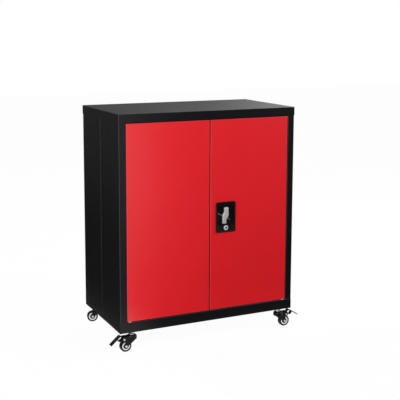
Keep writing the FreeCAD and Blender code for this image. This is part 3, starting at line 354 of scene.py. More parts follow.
tree, inputs = new_tree("blind rivets", {"Head radius": 3.2 * mm, "Head height": 1.2 * mm, "Shank radius": 1.6 * mm,
                                         "Grip": 2.0 * mm, "Mandrel radius": 0.9 * mm})
ball = add(tree, "GeometryNodeMeshUVSphere", {"Segments": 24, "Rings": 14, "Radius": 1.0}).outputs[0]
half_grip = add(tree, "ShaderNodeMath", {0: inputs["Grip"], 1: 0.5}, operation="MULTIPLY").outputs[0]
below = add(tree, "ShaderNodeMath", {0: inputs["Grip"], 1: -0.5}, operation="MULTIPLY").outputs[0]
shank = add(tree, "GeometryNodeMeshCylinder", {"Vertices": 24, "Radius": inputs["Shank radius"],
                                               "Depth": inputs["Grip"]}).outputs[0]
far_head = scaled(tree, ball, inputs["Head radius"], inputs["Head radius"], inputs["Head height"], below)
near_head = scaled(tree, ball, inputs["Head radius"], inputs["Head radius"], inputs["Head height"], half_grip)
pin_length = add(tree, "ShaderNodeMath", {0: inputs["Head height"], 1: 2.0}, operation="MULTIPLY").outputs[0]
pin_hole = add(tree, "GeometryNodeMeshCylinder", {"Vertices": 16, "Radius": inputs["Mandrel radius"],
                                                  "Depth": pin_length}).outputs[0]
top_of_head = add(tree, "ShaderNodeMath", {0: half_grip, 1: inputs["Head height"]}, operation="ADD").outputs[0]
pin_hole = scaled(tree, pin_hole, 1.0, 1.0, 0.6, top_of_head)
near_head = add(tree, "GeometryNodeMeshBoolean", {"Mesh 1": near_head, "Mesh 2": pin_hole},
                operation="DIFFERENCE").outputs[0]
rivet = add(tree, "GeometryNodeJoinGeometry", {"Geometry": [far_head, shank, near_head]}).outputs[0]
stand_at_places(tree, inputs, rivet)

seam_x = 366.2 * mm
rivet_rows = np.linspace(145, 840, 4) * mm
grown("seam_rivet_heads", tree, [(side * seam_x, 0.0, z) for side in (-1, 1) for z in rivet_rows],
      {"Axis": (0.0, -1.0, 0.0), "Finish": zinc}, "carcass", "zinc_steel", "seam_rivets")


# --- Back -------------------------------------------------------------------------------------------
# A flat sheet over the turned-in back flanges of the side leaves, powder coated with the body and held by
# five pan-head cross-recess screws down each edge.
dress(black_powder, "back_panel")

tree, inputs = new_tree("pan-head screws", {
    "Head radius": 3.6 * mm, "Head height": 1.8 * mm, "Shank radius": 1.9 * mm, "Shank length": 5.0 * mm,
    "Recess width": 0.9 * mm})
ball = add(tree, "GeometryNodeMeshUVSphere", {"Segments": 28, "Rings": 16, "Radius": 1.0}).outputs[0]
head = scaled(tree, ball, inputs["Head radius"], inputs["Head radius"], inputs["Head height"])
recess_length = add(tree, "ShaderNodeMath", {0: inputs["Head radius"], 1: 1.1}, operation="MULTIPLY").outputs[0]
cube = add(tree, "GeometryNodeMeshCube", {"Size": (1.0, 1.0, 1.0)}).outputs[0]
one_way = scaled(tree, cube, recess_length, inputs["Recess width"], inputs["Head height"], inputs["Head height"])
other_way = scaled(tree, cube, inputs["Recess width"], recess_length, inputs["Head height"], inputs["Head height"])
head = add(tree, "GeometryNodeMeshBoolean", {"Mesh 1": head, "Mesh 2": [one_way, other_way]},
           operation="DIFFERENCE").outputs[0]
half_shank = add(tree, "ShaderNodeMath", {0: inputs["Shank length"], 1: -0.5}, operation="MULTIPLY").outputs[0]
shank = add(tree, "GeometryNodeMeshCylinder", {"Vertices": 20, "Radius": inputs["Shank radius"],
                                               "Depth": inputs["Shank length"]}).outputs[0]
shank = scaled(tree, shank, 1.0, 1.0, 1.0, half_shank)
screw = add(tree, "GeometryNodeJoinGeometry", {"Geometry": [head, shank]}).outputs[0]
stand_at_places(tree, inputs, screw)

back_face = 205 * mm
screw_x = 364.2 * mm
screw_rows = np.linspace(135, 850, 5) * mm
grown("back_screw_heads", tree, [(side * screw_x, back_face, z) for side in (-1, 1) for z in screw_rows],
      {"Axis": (0.0, 1.0, 0.0), "Finish": zinc}, "carcass", "zinc_steel", "back_screws")


# --- Header -----------------------------------------------------------------------------------------
# The folded channel over the doors, spot welded between the stiles: its lower face carries the upper
# pivots and the slot for the upper bolt, and its step stops the doors. Same black powder coat.
dress(black_powder, "front_header")


# --- Top --------------------------------------------------------------------------------------------
# A cap folded down on all four sides and dropped over the body, its corners welded and ground smooth
# before coating, so that they show no seam.
dress(black_powder, "top_panel")


# --- Shelf and uprights -----------------------------------------------------------------------------
# Four slotted channels stand inside the sides. A lipped steel shelf rests on four plated clips that hook
# into their slots. Channels and shelf are powder coated with the body.
dress(black_powder, "left_front_upright", "left_rear_upright", "right_front_upright", "right_rear_upright", "shelf")


def own_shape(node):
    """The model's shape of a node, its loose triangles joined to one skin."""
    shape = bmesh.new()
    shape.from_mesh(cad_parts[node].data)
    bmesh.ops.remove_doubles(shape, verts=shape.verts, dist=0.002 * mm)
    return shape


def piece_of(name, shape):
    """A shape that is done, as an object at the origin."""
    piece = new_piece(name, [])
    shape.to_mesh(piece.data)
    shape.free()
    return piece


def eased(name, width, material, body, slot, node, lowest=-math.inf, highest=math.inf):
    """The node's own shape between two heights, with its edges broken as on real pieces."""
    shape = own_shape(node)
    others = [v for v in shape.verts if not lowest < v.co.z < highest]
    bmesh.ops.delete(shape, geom=others, context="VERTS")
    bmesh.ops.dissolve_limit(shape, angle_limit=math.radians(0.6), verts=shape.verts, edges=shape.edges)
    piece = piece_of(name, shape)
    piece.data.materials.append(material)
    edge = piece.modifiers.new("broken edges", "BEVEL")
    edge.limit_method = "ANGLE"
    edge.angle_limit = math.radians(35)
    edge.width = width
    edge.segments = 2
    settled(piece, body, slot, node)


eased("shelf_clip_hooks", 0.3 * mm, zinc, "carcass", "zinc_steel", "shelf_clips")


# --- Door pivots ------------------------------------------------------------------------------------
# Each door turns on two plated steel pins in flanged nylon bushes, pushed into the header and the sill.
# The lower bushes are natural nylon, a milky off-white and slightly waxy; the upper ones are the same, drawn black as
# painted shade under the header.
def turned_nylon(name, colour, cloudy):
    """Nylon: a waxy sheen over a colour that clouds a little where the melt flowed, and light that sinks in."""
    material, tree = new_material(name)
    place = add(tree, "ShaderNodeTexCoord").outputs["Object"]
    flow = add(tree, "ShaderNodeTexNoise", {"Vector": place, "Scale": 1 / (5 * mm), "Detail": 2.0})
    tone = add(tree, "ShaderNodeMix", {"Factor": flow.outputs[0], "A": linear(colour), "B": linear(cloudy)},
               data_type="RGBA")
    wax = add(tree, "ShaderNodeMapRange", {"Value": flow.outputs[0], "To Min": 0.38, "To Max": 0.55})
    body = add(tree, "ShaderNodeBsdfPrincipled", {
        "Base Color": tone.outputs["Result"], "Roughness": wax.outputs[0], "IOR": 1.53, "Subsurface Weight": 0.15,
        "Subsurface Scale": 1.0 * mm})
    add(tree, "ShaderNodeOutputMaterial", {"Surface": body.outputs[0]})
    return material


mid_height = 0.5
eased("lower_bush_flanges", 0.3 * mm, turned_nylon("natural nylon", "#efece2", "#ddd8c8"), "carcass", "nylon_white",
      "pivot_bushes", highest=mid_height)
# Painted shade: the upper bushes are drawn black where they sit in the header's shadow.
eased("upper_bush_flanges", 0.3 * mm, turned_nylon("nylon drawn black as painted shade", "#0f0f10", "#161617"), "carcass", "black_plastic",
      "pivot_bushes", lowest=mid_height)


# --- Door bumpers -----------------------------------------------------------------------------------
# Moulded rubber buttons with domed faces, pushed into the stop steps above and below the doors.
# Black natural rubber, matt, with a grey bloom.
rubber, tree = new_material("black natural rubber")
place = add(tree, "ShaderNodeTexCoord").outputs["Object"]
bloom = add(tree, "ShaderNodeTexNoise", {"Vector": place, "Scale": 1 / (3 * mm), "Detail": 4.0})
tone = add(tree, "ShaderNodeMix", {"Factor": bloom.outputs[0], "A": linear("#151516"), "B": linear("#242425")},
           data_type="RGBA")
grain = add(tree, "ShaderNodeBump", {"Height": bloom.outputs[0], "Strength": 0.15, "Distance": 0.1 * mm})
body = add(tree, "ShaderNodeBsdfPrincipled", {
    "Base Color": tone.outputs["Result"], "Roughness": 0.8, "IOR": 1.52, "Normal": grain.outputs[0]})
add(tree, "ShaderNodeOutputMaterial", {"Surface": body.outputs[0]})

tree, inputs = new_tree("rubber buttons", {"Radius": 4.0 * mm, "Height": 3.0 * mm, "Dome": 1.2 * mm})
ball = add(tree, "GeometryNodeMeshUVSphere", {"Segments": 28, "Rings": 14, "Radius": 1.0}).outputs[0]
wall = add(tree, "ShaderNodeMath", {0: inputs["Height"], 1: inputs["Dome"]}, operation="SUBTRACT").outputs[0]
half_wall = add(tree, "ShaderNodeMath", {0: wall, 1: 0.5}, operation="MULTIPLY").outputs[0]
post = add(tree, "GeometryNodeMeshCylinder", {"Vertices": 28, "Radius": inputs["Radius"], "Depth": wall}).outputs[0]
post = scaled(tree, post, 1.0, 1.0, 1.0, half_wall)
dome = scaled(tree, ball, inputs["Radius"], inputs["Radius"], inputs["Dome"], wall)
button = add(tree, "GeometryNodeJoinGeometry", {"Geometry": [post, dome]}).outputs[0]
stand_at_places(tree, inputs, button)

stop_face = -180.7 * mm
button_rows = [870.5 * mm, 120.6 * mm]
button_columns = [x * mm for x in (-250, -30, 30, 250)]
grown("door_bumper_buttons", tree, [(x, stop_face, z) for z in button_rows for x in button_columns],
      {"Axis": (0.0, -1.0, 0.0), "Finish": rubber}, "carcass", "rubber_black", "door_bumpers")


# --- Caster mounts ----------------------------------------------------------------------------------
# A corner plate with a welded nut lies inside the tray over each caster. The threaded stem screws up into
# it and is locked by a bright plated nut under the tray.
eased("caster_corner_plates", 0.4 * mm, black_powder, "carcass", "body_black", "caster_plates")

tree, inputs = new_tree("hexagon nuts", {"Across flats": 17.0 * mm, "Height": 8.0 * mm, "Bore radius": 5.0 * mm})
half_flats = add(tree, "ShaderNodeMath", {0: inputs["Across flats"], 1: 0.5}, operation="MULTIPLY").outputs[0]
reach = add(tree, "ShaderNodeMath", {0: half_flats, 1: math.cos(math.radians(30))}, operation="DIVIDE").outputs[0]
prism = add(tree, "GeometryNodeMeshCylinder", {"Vertices": 6, "Radius": reach, "Depth": inputs["Height"]}).outputs[0]
# A ball stretched to these shares of the nut's sizes rounds off the prism's corners.
ball = add(tree, "GeometryNodeMeshUVSphere", {"Segments": 48, "Rings": 32, "Radius": 1.0}).outputs[0]
wide = add(tree, "ShaderNodeMath", {0: half_flats, 1: 1.284}, operation="MULTIPLY").outputs[0]
tall = add(tree, "ShaderNodeMath", {0: inputs["Height"], 1: 0.81}, operation="MULTIPLY").outputs[0]
chamfer = scaled(tree, ball, wide, wide, tall)
nut = add(tree, "GeometryNodeMeshBoolean", {"Mesh 2": [prism, chamfer]}, operation="INTERSECT").outputs[0]
hole_depth = add(tree, "ShaderNodeMath", {0: inputs["Height"], 1: 2.0}, operation="MULTIPLY").outputs[0]
hole = add(tree, "GeometryNodeMeshCylinder", {"Vertices": 32, "Radius": inputs["Bore radius"],
                                              "Depth": hole_depth}).outputs[0]
nut = add(tree, "GeometryNodeMeshBoolean", {"Mesh 1": nut, "Mesh 2": hole}, operation="DIFFERENCE").outputs[0]
stand_at_places(tree, inputs, nut)
nut_tree = tree

stem_x = 324 * mm
stem_y = 190 * mm
nut_z = 71 * mm
grown("stem_lock_nuts", nut_tree, [(x, y, nut_z) for x in (-stem_x, stem_x) for y in (-stem_y, stem_y)],
      {"Axis": (0.0, 0.0, 1.0), "Finish": zinc}, "carcass", "zinc_steel", "stem_nuts")

# The way each caster trails at rest, in degrees from the cabinet's right.
trailing_way = {"front_left": 180.0, "front_right": 0.0, "rear_left": 166.0, "rear_right": 14.0}
for corner in trailing_way:
    eased(f"{corner}_stem_thread", 0.3 * mm, zinc, "carcass", "zinc_steel", f"{corner}_caster_stem")


# --- Doors ------------------------------------------------------------------------------------------
# Two folded steel trays with lips turned in all round, powder coated signal red inside and out. A hat
# channel is welded upright behind each face, and a headed pin stands in each outer corner.
# Its last two colours are a painted highlight on the folds and painted shade in the gaps.
red_powder = powder_coat("red powder coat on steel", "#db1c25", "#d61b24", "#de3038", "#5a0a0e", gloss=0.29,
                         shine=0.75)
dress(red_powder, "left_door_panel", "left_door_stiffener", "right_door_panel", "right_door_stiffener")
eased("left_door_pins", 0.3 * mm, zinc, "left_door", "zinc_steel", "left_pivot_pins")
eased("right_door_pins", 0.3 * mm, zinc, "right_door", "zinc_steel", "right_pivot_pins")


# --- Handle housing ---------------------------------------------------------------------------------
# One black ABS moulding: a plate with a raised rim, a finger cup crossed by a slanted ledge, the lever's
# bearing and the seat of the lock. Its spark-eroded grain is matt, and drawn three times as coarse as the
# real one, to show. The edges in the cup, the ledge's among them, carry a pale painted highlight.
handle_x = 69 * mm
handle_z = 493 * mm
cup_middle = (handle_x, -200 * mm, handle_z)
cup_reach = 28 * mm
cup_rim = 33 * mm
grained_abs, tree = new_material("grained black ABS")
place = add(tree, "ShaderNodeTexCoord").outputs["Object"]
grain = add(tree, "ShaderNodeTexVoronoi", {"Vector": place, "Scale": 1 / (0.9 * mm)})
tint = add(tree, "ShaderNodeTexNoise", {"Vector": place, "Scale": 1 / (20 * mm), "Detail": 2.0})
tone = add(tree, "ShaderNodeMix", {"Factor": tint.outputs[0], "A": linear("#070708"), "B": linear("#0c0c0d")},
           data_type="RGBA")
# Painted highlight: edges within the finger cup, the ledge's among them, are painted pale grey.
rounded = add(tree, "ShaderNodeBevel", {"Radius": 2.4 * mm}, samples=6)
flat = add(tree, "ShaderNodeNewGeometry").outputs["Normal"]
along = add(tree, "ShaderNodeVectorMath", {0: rounded.outputs[0], 1: flat}, operation="DOT_PRODUCT")
edge = add(tree, "ShaderNodeMapRange", {"Value": along.outputs["Value"], "From Min": 0.99, "From Max": 0.94})
away = add(tree, "ShaderNodeVectorMath", {0: place, 1: cup_middle}, operation="DISTANCE")
in_the_cup = add(tree, "ShaderNodeMapRange", {"Value": away.outputs["Value"], "From Min": cup_rim,
                                           "From Max": cup_reach})
highlight_and_wear = add(tree, "ShaderNodeMath", {0: edge.outputs[0], 1: in_the_cup.outputs[0]}, operation="MULTIPLY")
ledge_highlight = add(tree, "ShaderNodeMix", {"Factor": highlight_and_wear.outputs[0], "A": tone.outputs["Result"], "B": linear("#bcbabf")},
             data_type="RGBA")
shine = add(tree, "ShaderNodeMapRange", {"Value": grain.outputs["Distance"], "To Min": 0.36, "To Max": 0.5})
pits = add(tree, "ShaderNodeBump", {"Height": grain.outputs["Distance"], "Strength": 0.12, "Distance": 0.06 * mm})
body = add(tree, "ShaderNodeBsdfPrincipled", {
    "Base Color": ledge_highlight.outputs["Result"], "Roughness": shine.outputs[0], "IOR": 1.54, "Specular IOR Level": 0.15,
    "Normal": pits.outputs[0]})
add(tree, "ShaderNodeOutputMaterial", {"Surface": body.outputs[0]})
eased("handle_plate_and_cup", 0.7 * mm, grained_abs, "right_door", "black_plastic", "handle_housing")

post_x = 31 * mm
post_rows = (handle_z + 48.5 * mm, handle_z - 55 * mm)
post_end = -201.4 * mm
grown("housing_fixing_nuts", nut_tree,
      [(handle_x + side * post_x, post_end, z) for side in (-1, 1) for z in post_rows],
      {"Across flats": 7.0 * mm, "Height": 3.2 * mm, "Bore radius": 2.06 * mm, "Axis": (0.0, 1.0, 0.0),
       "Finish": zinc}, "right_door", "zinc_steel", "housing_nuts")


# --- Lever ------------------------------------------------------------------------------------------
# A zinc die casting in an S, the lower grip stepped to the left, over a round spindle that is squared at
# its end for the cam. Matt silver finish, nearly flat in front with rounded edges, and brushed lengthways
# with hairs that are drawn coarser than real ones, to show.
satin_chrome, tree = new_material("matt silver chrome on die-cast zinc")
place = add(tree, "ShaderNodeTexCoord").outputs["Object"]
brushing = add(tree, "ShaderNodeMapping", {"Vector": place, "Scale": (1.0, 1.0, 0.06)})
hairs = add(tree, "ShaderNodeTexNoise", {"Vector": brushing.outputs[0], "Scale": 1 / (0.35 * mm), "Detail": 3.0})
grease = add(tree, "ShaderNodeTexNoise", {"Vector": place, "Scale": 1 / (12 * mm), "Detail": 3.0})
satin = add(tree, "ShaderNodeMapRange", {"Value": grease.outputs[0], "From Min": 0.3, "From Max": 0.7,
                                         "To Min": 0.46, "To Max": 0.54})
brushed = add(tree, "ShaderNodeBump", {"Height": hairs.outputs[0], "Strength": 0.1, "Distance": 0.05 * mm})
body = add(tree, "ShaderNodeBsdfPrincipled", {
    "Base Color": linear("#bdbec0"), "Metallic": 0.5, "Roughness": satin.outputs[0], "Normal": brushed.outputs[0]})
add(tree, "ShaderNodeOutputMaterial", {"Surface": body.outputs[0]})


def lathe(profile, steps=72):
    """Turns points of (radius, height) about Z, closed at its poles or, with none, on itself."""
    vertices = []
    rings = []
    for radius, height in profile:
        count = steps if radius > 0 else 1
        rings.append(range(len(vertices), len(vertices) + count))
        for i in range(count):
            angle = 2 * math.pi * i / steps
            vertices.append((radius * math.cos(angle), radius * math.sin(angle), height))
    pairs = list(zip(rings, rings[1:]))
    if profile[0][0] > 0 and profile[-1][0] > 0:
        pairs.append((rings[-1], rings[0]))
    faces = []
    for low, high in pairs:
        for i in range(steps):
            j = (i + 1) % steps
            ring = (low[i % len(low)], low[j % len(low)], high[j % len(high)], high[i % len(high)])
            faces.append(list(dict.fromkeys(ring)))
    return vertices, faces


def assembled(name, material, body, slot, parts, *stands_for):
    """One piece of several closed shapes, each given as (vertices, faces, the place and turn it stands at)."""
    joined = bmesh.new()
    for vertices, faces, stands in parts:
        corners_of = [joined.verts.new(stands @ Vector(v)) for v in vertices]
        for face in faces:
            joined.faces.new([corners_of[i] for i in face])
    bmesh.ops.recalc_face_normals(joined, faces=joined.faces)
    piece = piece_of(name, joined)
    piece.data.materials.append(material)
    settled(piece, body, slot, *stands_for)


# The casting's sizes are in millimetres about the spindle.
lever_back = -199.0
lever_front = -208.0
lever_wall = 5.5
lever_foot = -32.5
lever_top = 33.0
end_radius = 3.0
# The higher these are, the flatter the front and the tighter its edges.
flat_across = 4
flat_along = 14
lever_rows = np.linspace(lever_foot, lever_top, 61)
lever_right = np.interp(lever_rows, [lever_foot, -14.0, -4.0, 2.0, lever_top], [3.0, 3.0, 11.6, 13.0, 11.5])
lever_left = np.interp(lever_rows, [lever_foot, 2.0, 6.0, 13.0, lever_top], [-13.0, -13.6, -12.4, -6.0, -5.5])
smoothing = np.ones(5) / 5
lever_right = np.convolve(np.pad(lever_right, 2, mode="edge"), smoothing, mode="valid")
lever_left = np.convolve(np.pad(lever_left, 2, mode="edge"), smoothing, mode="valid")
to_end = np.minimum(lever_rows - lever_foot, lever_top - lever_rows)
end_round = end_radius - np.sqrt(np.maximum(end_radius ** 2 - np.maximum(end_radius - to_end, 0.0) ** 2, 0.0))
across = np.sin(np.linspace(-1, 1, 25) * math.pi / 2)
vertices = []
for row, left, right in zip(lever_rows, lever_left + end_round, lever_right - end_round):
    along = abs(2 * (row - lever_foot) / (lever_top - lever_foot) - 1)
    for share in across:
        crown = math.sqrt(max(1 - abs(share) ** flat_across, 0)) * math.sqrt(max(1 - along ** flat_along, 0))
        y = lever_back - lever_wall + (lever_front - lever_back + lever_wall) * crown
        vertices.append((left + (right - left) * (share + 1) / 2, y, row))
front_count = len(vertices)
vertices += [(x, lever_back, z) for x, y, z in vertices]
columns = len(across)
faces = []
for i in range(len(lever_rows) - 1):
    for j in range(columns - 1):
        here = i * columns + j
        faces.append((here, here + 1, here + columns + 1, here + columns))
        faces.append(tuple(k + front_count for k in (here, here + columns, here + columns + 1, here + 1)))
rim = list(range(columns)) + [i * columns + columns - 1 for i in range(1, len(lever_rows))]
rim += [(len(lever_rows) - 1) * columns + j for j in range(columns - 2, -1, -1)]
rim += [i * columns for i in range(len(lever_rows) - 2, 0, -1)]
for here, following in zip(rim, rim[1:] + rim[:1]):
    faces.append((here, here + front_count, following + front_count, following))
at_handle = Matrix.Translation((handle_x, 0, handle_z)) @ Matrix.Scale(mm, 4)
lay_over = Matrix.Rotation(math.radians(90), 4, "X")
spindle = lathe([(0, 178.0), (3.9, 178.0), (4.5, 178.6), (4.5, 199.5), (0, 199.5)], 40)
square_end = lathe([(0, 175.5), (3.9, 175.5), (4.24, 175.9), (4.24, 178.5), (0, 178.5)], 4)
quarter = Matrix.Rotation(math.radians(45), 4, "Z")
assembled("lever_and_spindle", satin_chrome, "handle", "chrome", [
    (vertices, faces, at_handle), (*spindle, at_handle @ lay_over), (*square_end, at_handle @ lay_over @ quarter)],
    "handle_lever")


# --- Cam and bolts ----------------------------------------------------------------------------------
# Behind the door a plated steel cam, screwed to the spindle, hooks the left door and throws two flat rods
# up and down through pressed guides. All are blanked from zinc-plated strip.
eased("latch_cam", 0.25 * mm, zinc, "handle", "zinc_steel", "cam_plate")
eased("latch_cam_screw", 0.3 * mm, zinc, "handle", "zinc_steel", "cam_screw")
eased("upper_bolt_bar", 0.3 * mm, zinc, "upper_bolt", "zinc_steel", "upper_rod")
eased("lower_bolt_bar", 0.3 * mm, zinc, "lower_bolt", "zinc_steel", "lower_rod")
eased("bolt_guides", 0.3 * mm, zinc, "right_door", "zinc_steel", "rod_guides")


# --- Key lock ---------------------------------------------------------------------------------------
# A cam lock in the foot of the handle plate: a pale chromed barrel with a rounded collar, and a darker
# plated plug with a keyway that turns in it and swings a tab behind the door.
bright_chrome, tree = new_material("pale chrome on die-cast zinc")
place = add(tree, "ShaderNodeTexCoord").outputs["Object"]
haze = add(tree, "ShaderNodeTexNoise", {"Vector": place, "Scale": 1 / (2.5 * mm), "Detail": 3.0})
clear = add(tree, "ShaderNodeMapRange", {"Value": haze.outputs[0], "From Min": 0.3, "From Max": 0.7,
                                         "To Min": 0.3, "To Max": 0.4})
body = add(tree, "ShaderNodeBsdfPrincipled", {
    "Base Color": linear("#e6e7e8"), "Metallic": 0.6, "Roughness": clear.outputs[0]})
add(tree, "ShaderNodeOutputMaterial", {"Surface": body.outputs[0]})

lock_drop = 48.2 * mm
at_lock = Matrix.Translation((handle_x, 0, handle_z - lock_drop)) @ Matrix.Scale(mm, 4)
collar = lathe([(5.56, 178.4), (8.5, 178.4), (8.5, 207.0), (9.5, 207.0), (9.5, 207.9), (9.3, 208.5), (8.8, 208.9),
                (8.2, 209.0), (7.0, 208.8), (6.3, 208.3), (5.56, 208.2)], 64)
assembled("lock_collar", bright_chrome, "right_door", "chrome", [(*collar, at_lock @ lay_over)], "lock_barrel")
eased("lock_plug_face", 0.25 * mm, zinc, "lock", "chrome", "lock_plug")
eased("lock_blade", 0.3 * mm, zinc, "lock", "zinc_steel", "lock_tab")


# --- Caster forks -----------------------------------------------------------------------------------
# Each fork is pressed from one steel sheet: a domed crown over the raceway that flows into two legs.
# Black electrophoretic coat, thinner and glossier than powder, with a faint violet cast.
fork_coat, tree = new_material("black electrophoretic coat")
place = add(tree, "ShaderNodeTexCoord").outputs["Object"]
drawn = add(tree, "ShaderNodeTexNoise", {"Vector": place, "Scale": 1 / (6 * mm), "Detail": 3.0})
tone = add(tree, "ShaderNodeMix", {"Factor": drawn.outputs[0], "A": linear("#080609"), "B": linear("#0e0b10")},
           data_type="RGBA")
gloss = add(tree, "ShaderNodeMapRange", {"Value": drawn.outputs[0], "From Min": 0.3, "From Max": 0.7,
                                         "To Min": 0.24, "To Max": 0.38})
body = add(tree, "ShaderNodeBsdfPrincipled", {
    "Base Color": tone.outputs["Result"], "Roughness": gloss.outputs[0], "IOR": 1.5, "Specular IOR Level": 0.18})
add(tree, "ShaderNodeOutputMaterial", {"Surface": body.outputs[0]})


def pressed(name, material, body, slot, node, cell, rounds, keep):
    """The node's own shape with its folds and edges drawn soft, as a press or a mould leaves them."""
    piece = piece_of(name, own_shape(node))
    skin = piece.modifiers.new("even skin", "REMESH")
    skin.mode = "VOXEL"
    skin.voxel_size = cell
    soft = piece.modifiers.new("soft edges", "SMOOTH")
    soft.factor = 0.5
    soft.iterations = rounds
    thin = piece.modifiers.new("fewer faces", "DECIMATE")
    thin.ratio = keep
    settled(piece, body, slot, node)
    piece.data.materials.clear()
    piece.data.materials.append(material)
    piece.data.set_sharp_from_angle(angle=math.radians(70))


for corner in trailing_way:
    pressed(f"{corner}_pressed_fork", fork_coat, f"{corner}_swivel", "caster_black", f"{corner}_caster_fork",
            cell=0.55 * mm, rounds=5, keep=0.3)


# --- Axles and brake pins ---------------------------------------------------------------------------
# Plated steel rivets: each is headed over outside both legs, with a low dome. The front forks carry a
# second, thinner one for the brake.
leg_face = 12.5
trail = 26.0
wheel_radius = 22.5


def domed_pin(x, z, radius, head_radius, head_height):
    """A pin across the fork, in millimetres from the stem, with a domed head outside each leg."""
    out = leg_face + head_height
    half = [(head_radius, leg_face), (head_radius, leg_face + head_height * 0.35),
            (head_radius * 0.9, out - head_height * 0.25), (head_radius * 0.62, out - 0.05), (0, out)]
    profile = [(r, -h) for r, h in reversed(half)] + [(radius, -leg_face), (radius, leg_face)] + half
    return *lathe(profile, 40), Matrix.Translation((x, 0, z)) @ lay_over


corner_stands = {}
for corner, azimuth in trailing_way.items():
    x = stem_x if corner.endswith("right") else -stem_x
    y = -stem_y if corner.startswith("front") else stem_y
    stands = Matrix.Translation((x, y, 0)) @ Matrix.Rotation(math.radians(azimuth), 4, "Z") @ Matrix.Scale(mm, 4)
    corner_stands[corner] = stands
    parts = [domed_pin(trail, wheel_radius, radius=3.0, head_radius=5.0, head_height=1.8)]
    node = f"{corner}_caster_axle"
    if corner.startswith("front"):
        parts.append(domed_pin(x=34.0, z=50.0, radius=2.0, head_radius=4.0, head_height=1.2))
        node = f"{corner}_caster_pins"
    parts = [(vertices, faces, stands @ place) for vertices, faces, place in parts]
    assembled(f"{corner}_fork_rivets", zinc, f"{corner}_swivel", "zinc_steel", parts, node)


# --- Wheels -----------------------------------------------------------------------------------------
# The wheel's centre is moulded nylon, drawn dark as painted shade in its recess, with a bright plated ring pressed
# into each side, and the tyre is a hard black polypropylene band with rounded shoulders and a faint moulding line.
ring_plate = zinc_plate("bright ring on the wheel", "#e2e3e4", "#d0d1d4", roughness=0.24)

# Painted shade: the wheel's centre is drawn near black for the shade in its recess.
hub_painted_shade, tree = new_material("moulded nylon drawn dark as painted shade")
place = add(tree, "ShaderNodeTexCoord").outputs["Object"]
flow = add(tree, "ShaderNodeTexNoise", {"Vector": place, "Scale": 1 / (4 * mm), "Detail": 3.0})
tone = add(tree, "ShaderNodeMix", {"Factor": flow.outputs[0], "A": linear("#0e0e10"), "B": linear("#151517")},
           data_type="RGBA")
body = add(tree, "ShaderNodeBsdfPrincipled", {"Base Color": tone.outputs["Result"], "Roughness": 0.5, "IOR": 1.53})
add(tree, "ShaderNodeOutputMaterial", {"Surface": body.outputs[0]})

tyre_pp, tree = new_material("hard black polypropylene")
place = add(tree, "ShaderNodeTexCoord").outputs["Object"]
dust = add(tree, "ShaderNodeTexNoise", {"Vector": place, "Scale": 1 / (5 * mm), "Detail": 5.0})
tone = add(tree, "ShaderNodeMix", {"Factor": dust.outputs[0], "A": linear("#050506"), "B": linear("#0d0d0e")},
           data_type="RGBA")
highlight_and_wear = add(tree, "ShaderNodeMapRange", {"Value": dust.outputs[0], "From Min": 0.3, "From Max": 0.7,
                                        "To Min": 0.36, "To Max": 0.55})
scuff = add(tree, "ShaderNodeBump", {"Height": dust.outputs[0], "Strength": 0.1, "Distance": 0.1 * mm})
body = add(tree, "ShaderNodeBsdfPrincipled", {
    "Base Color": tone.outputs["Result"], "Roughness": highlight_and_wear.outputs[0], "IOR": 1.49, "Specular IOR Level": 0.12,
    "Normal": scuff.outputs[0]})
add(tree, "ShaderNodeOutputMaterial", {"Surface": body.outputs[0]})

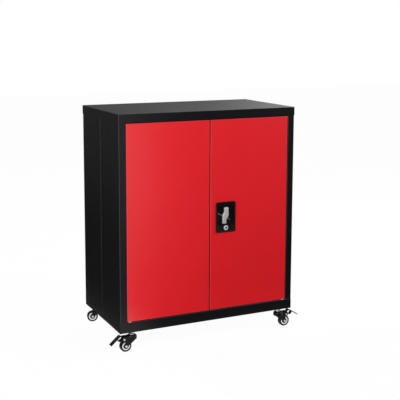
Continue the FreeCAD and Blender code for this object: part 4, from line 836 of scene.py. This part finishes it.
shoulder = 3.0
tyre_half = [(16.0, 9.0), (16.3, 9.4), (16.9, 9.5), (18.8, 9.5), (19.4, 9.42)]
tyre_half += [(19.4 + shoulder * math.sin(a), 6.42 + shoulder * math.cos(a)) for a in np.radians(range(10, 91, 10))]
tyre_half += [(22.44, 3.0), (22.46, 0.35), (wheel_radius, 0.2)]
tyre_profile = tyre_half + [(r, -h) for r, h in reversed(tyre_half)]
hub_half = [(3.06, 10.2), (6.2, 10.2), (6.5, 9.9), (6.5, 3.4), (6.9, 3.0), (11.0, 3.0), (11.0, 4.0), (16.0, 4.0)]
hub_profile = hub_half + [(r, -h) for r, h in reversed(hub_half)]
ring_profile = [(10.6, 3.0), (10.6, 8.2), (10.9, 8.6), (11.4, 8.7), (13.3, 8.45), (15.2, 8.7), (15.8, 8.6),
                (16.0, 8.2), (16.0, 3.0)]
ring_behind = [(r, -h) for r, h in ring_profile]
for corner, stands in corner_stands.items():
    on_axle = stands @ Matrix.Translation((trail, 0, wheel_radius)) @ lay_over
    wheel = f"{corner}_wheel"
    assembled(f"{corner}_tyre_band", tyre_pp, wheel, "tyre_black", [(*lathe(tyre_profile, 96), on_axle)],
              f"{corner}_caster_tyre")
    assembled(f"{corner}_wheel_centre", hub_painted_shade, wheel, "tyre_black", [(*lathe(hub_profile), on_axle)],
              f"{corner}_caster_rim")
    assembled(f"{corner}_wheel_rings", ring_plate, wheel, "wheel_grey",
              [(*lathe(ring_profile), on_axle), (*lathe(ring_behind), on_axle)])


# --- Foot brakes ------------------------------------------------------------------------------------
# A moulded pedal on each front caster turns about its pin and presses a pad on the tyre. Glass-filled
# black nylon, ribbed across the tread, braced underneath by a link. The fibres' marks are drawn coarse.
brake_nylon, tree = new_material("glass-filled nylon drawn black as painted shade")
place = add(tree, "ShaderNodeTexCoord").outputs["Object"]
fibre = add(tree, "ShaderNodeTexNoise", {"Vector": place, "Scale": 1 / (1.2 * mm), "Detail": 4.0})
tone = add(tree, "ShaderNodeMix", {"Factor": fibre.outputs[0], "A": linear("#070708"), "B": linear("#0e0e0f")},
           data_type="RGBA")
fibrous = add(tree, "ShaderNodeBump", {"Height": fibre.outputs[0], "Strength": 0.1, "Distance": 0.08 * mm})
body = add(tree, "ShaderNodeBsdfPrincipled", {
    "Base Color": tone.outputs["Result"], "Roughness": 0.46, "IOR": 1.53, "Specular IOR Level": 0.15,
    "Normal": fibrous.outputs[0]})
add(tree, "ShaderNodeOutputMaterial", {"Surface": body.outputs[0]})
for hand in ("left", "right"):
    pressed(f"front_{hand}_foot_pedal", brake_nylon, f"front_{hand}_brake", "caster_black",
            f"front_{hand}_brake_pedal", cell=0.45 * mm, rounds=3, keep=0.4)


# --- Update -----------------------------------------------------------------------------------------
# Brings every object's place up to date.
bpy.context.view_layer.update()
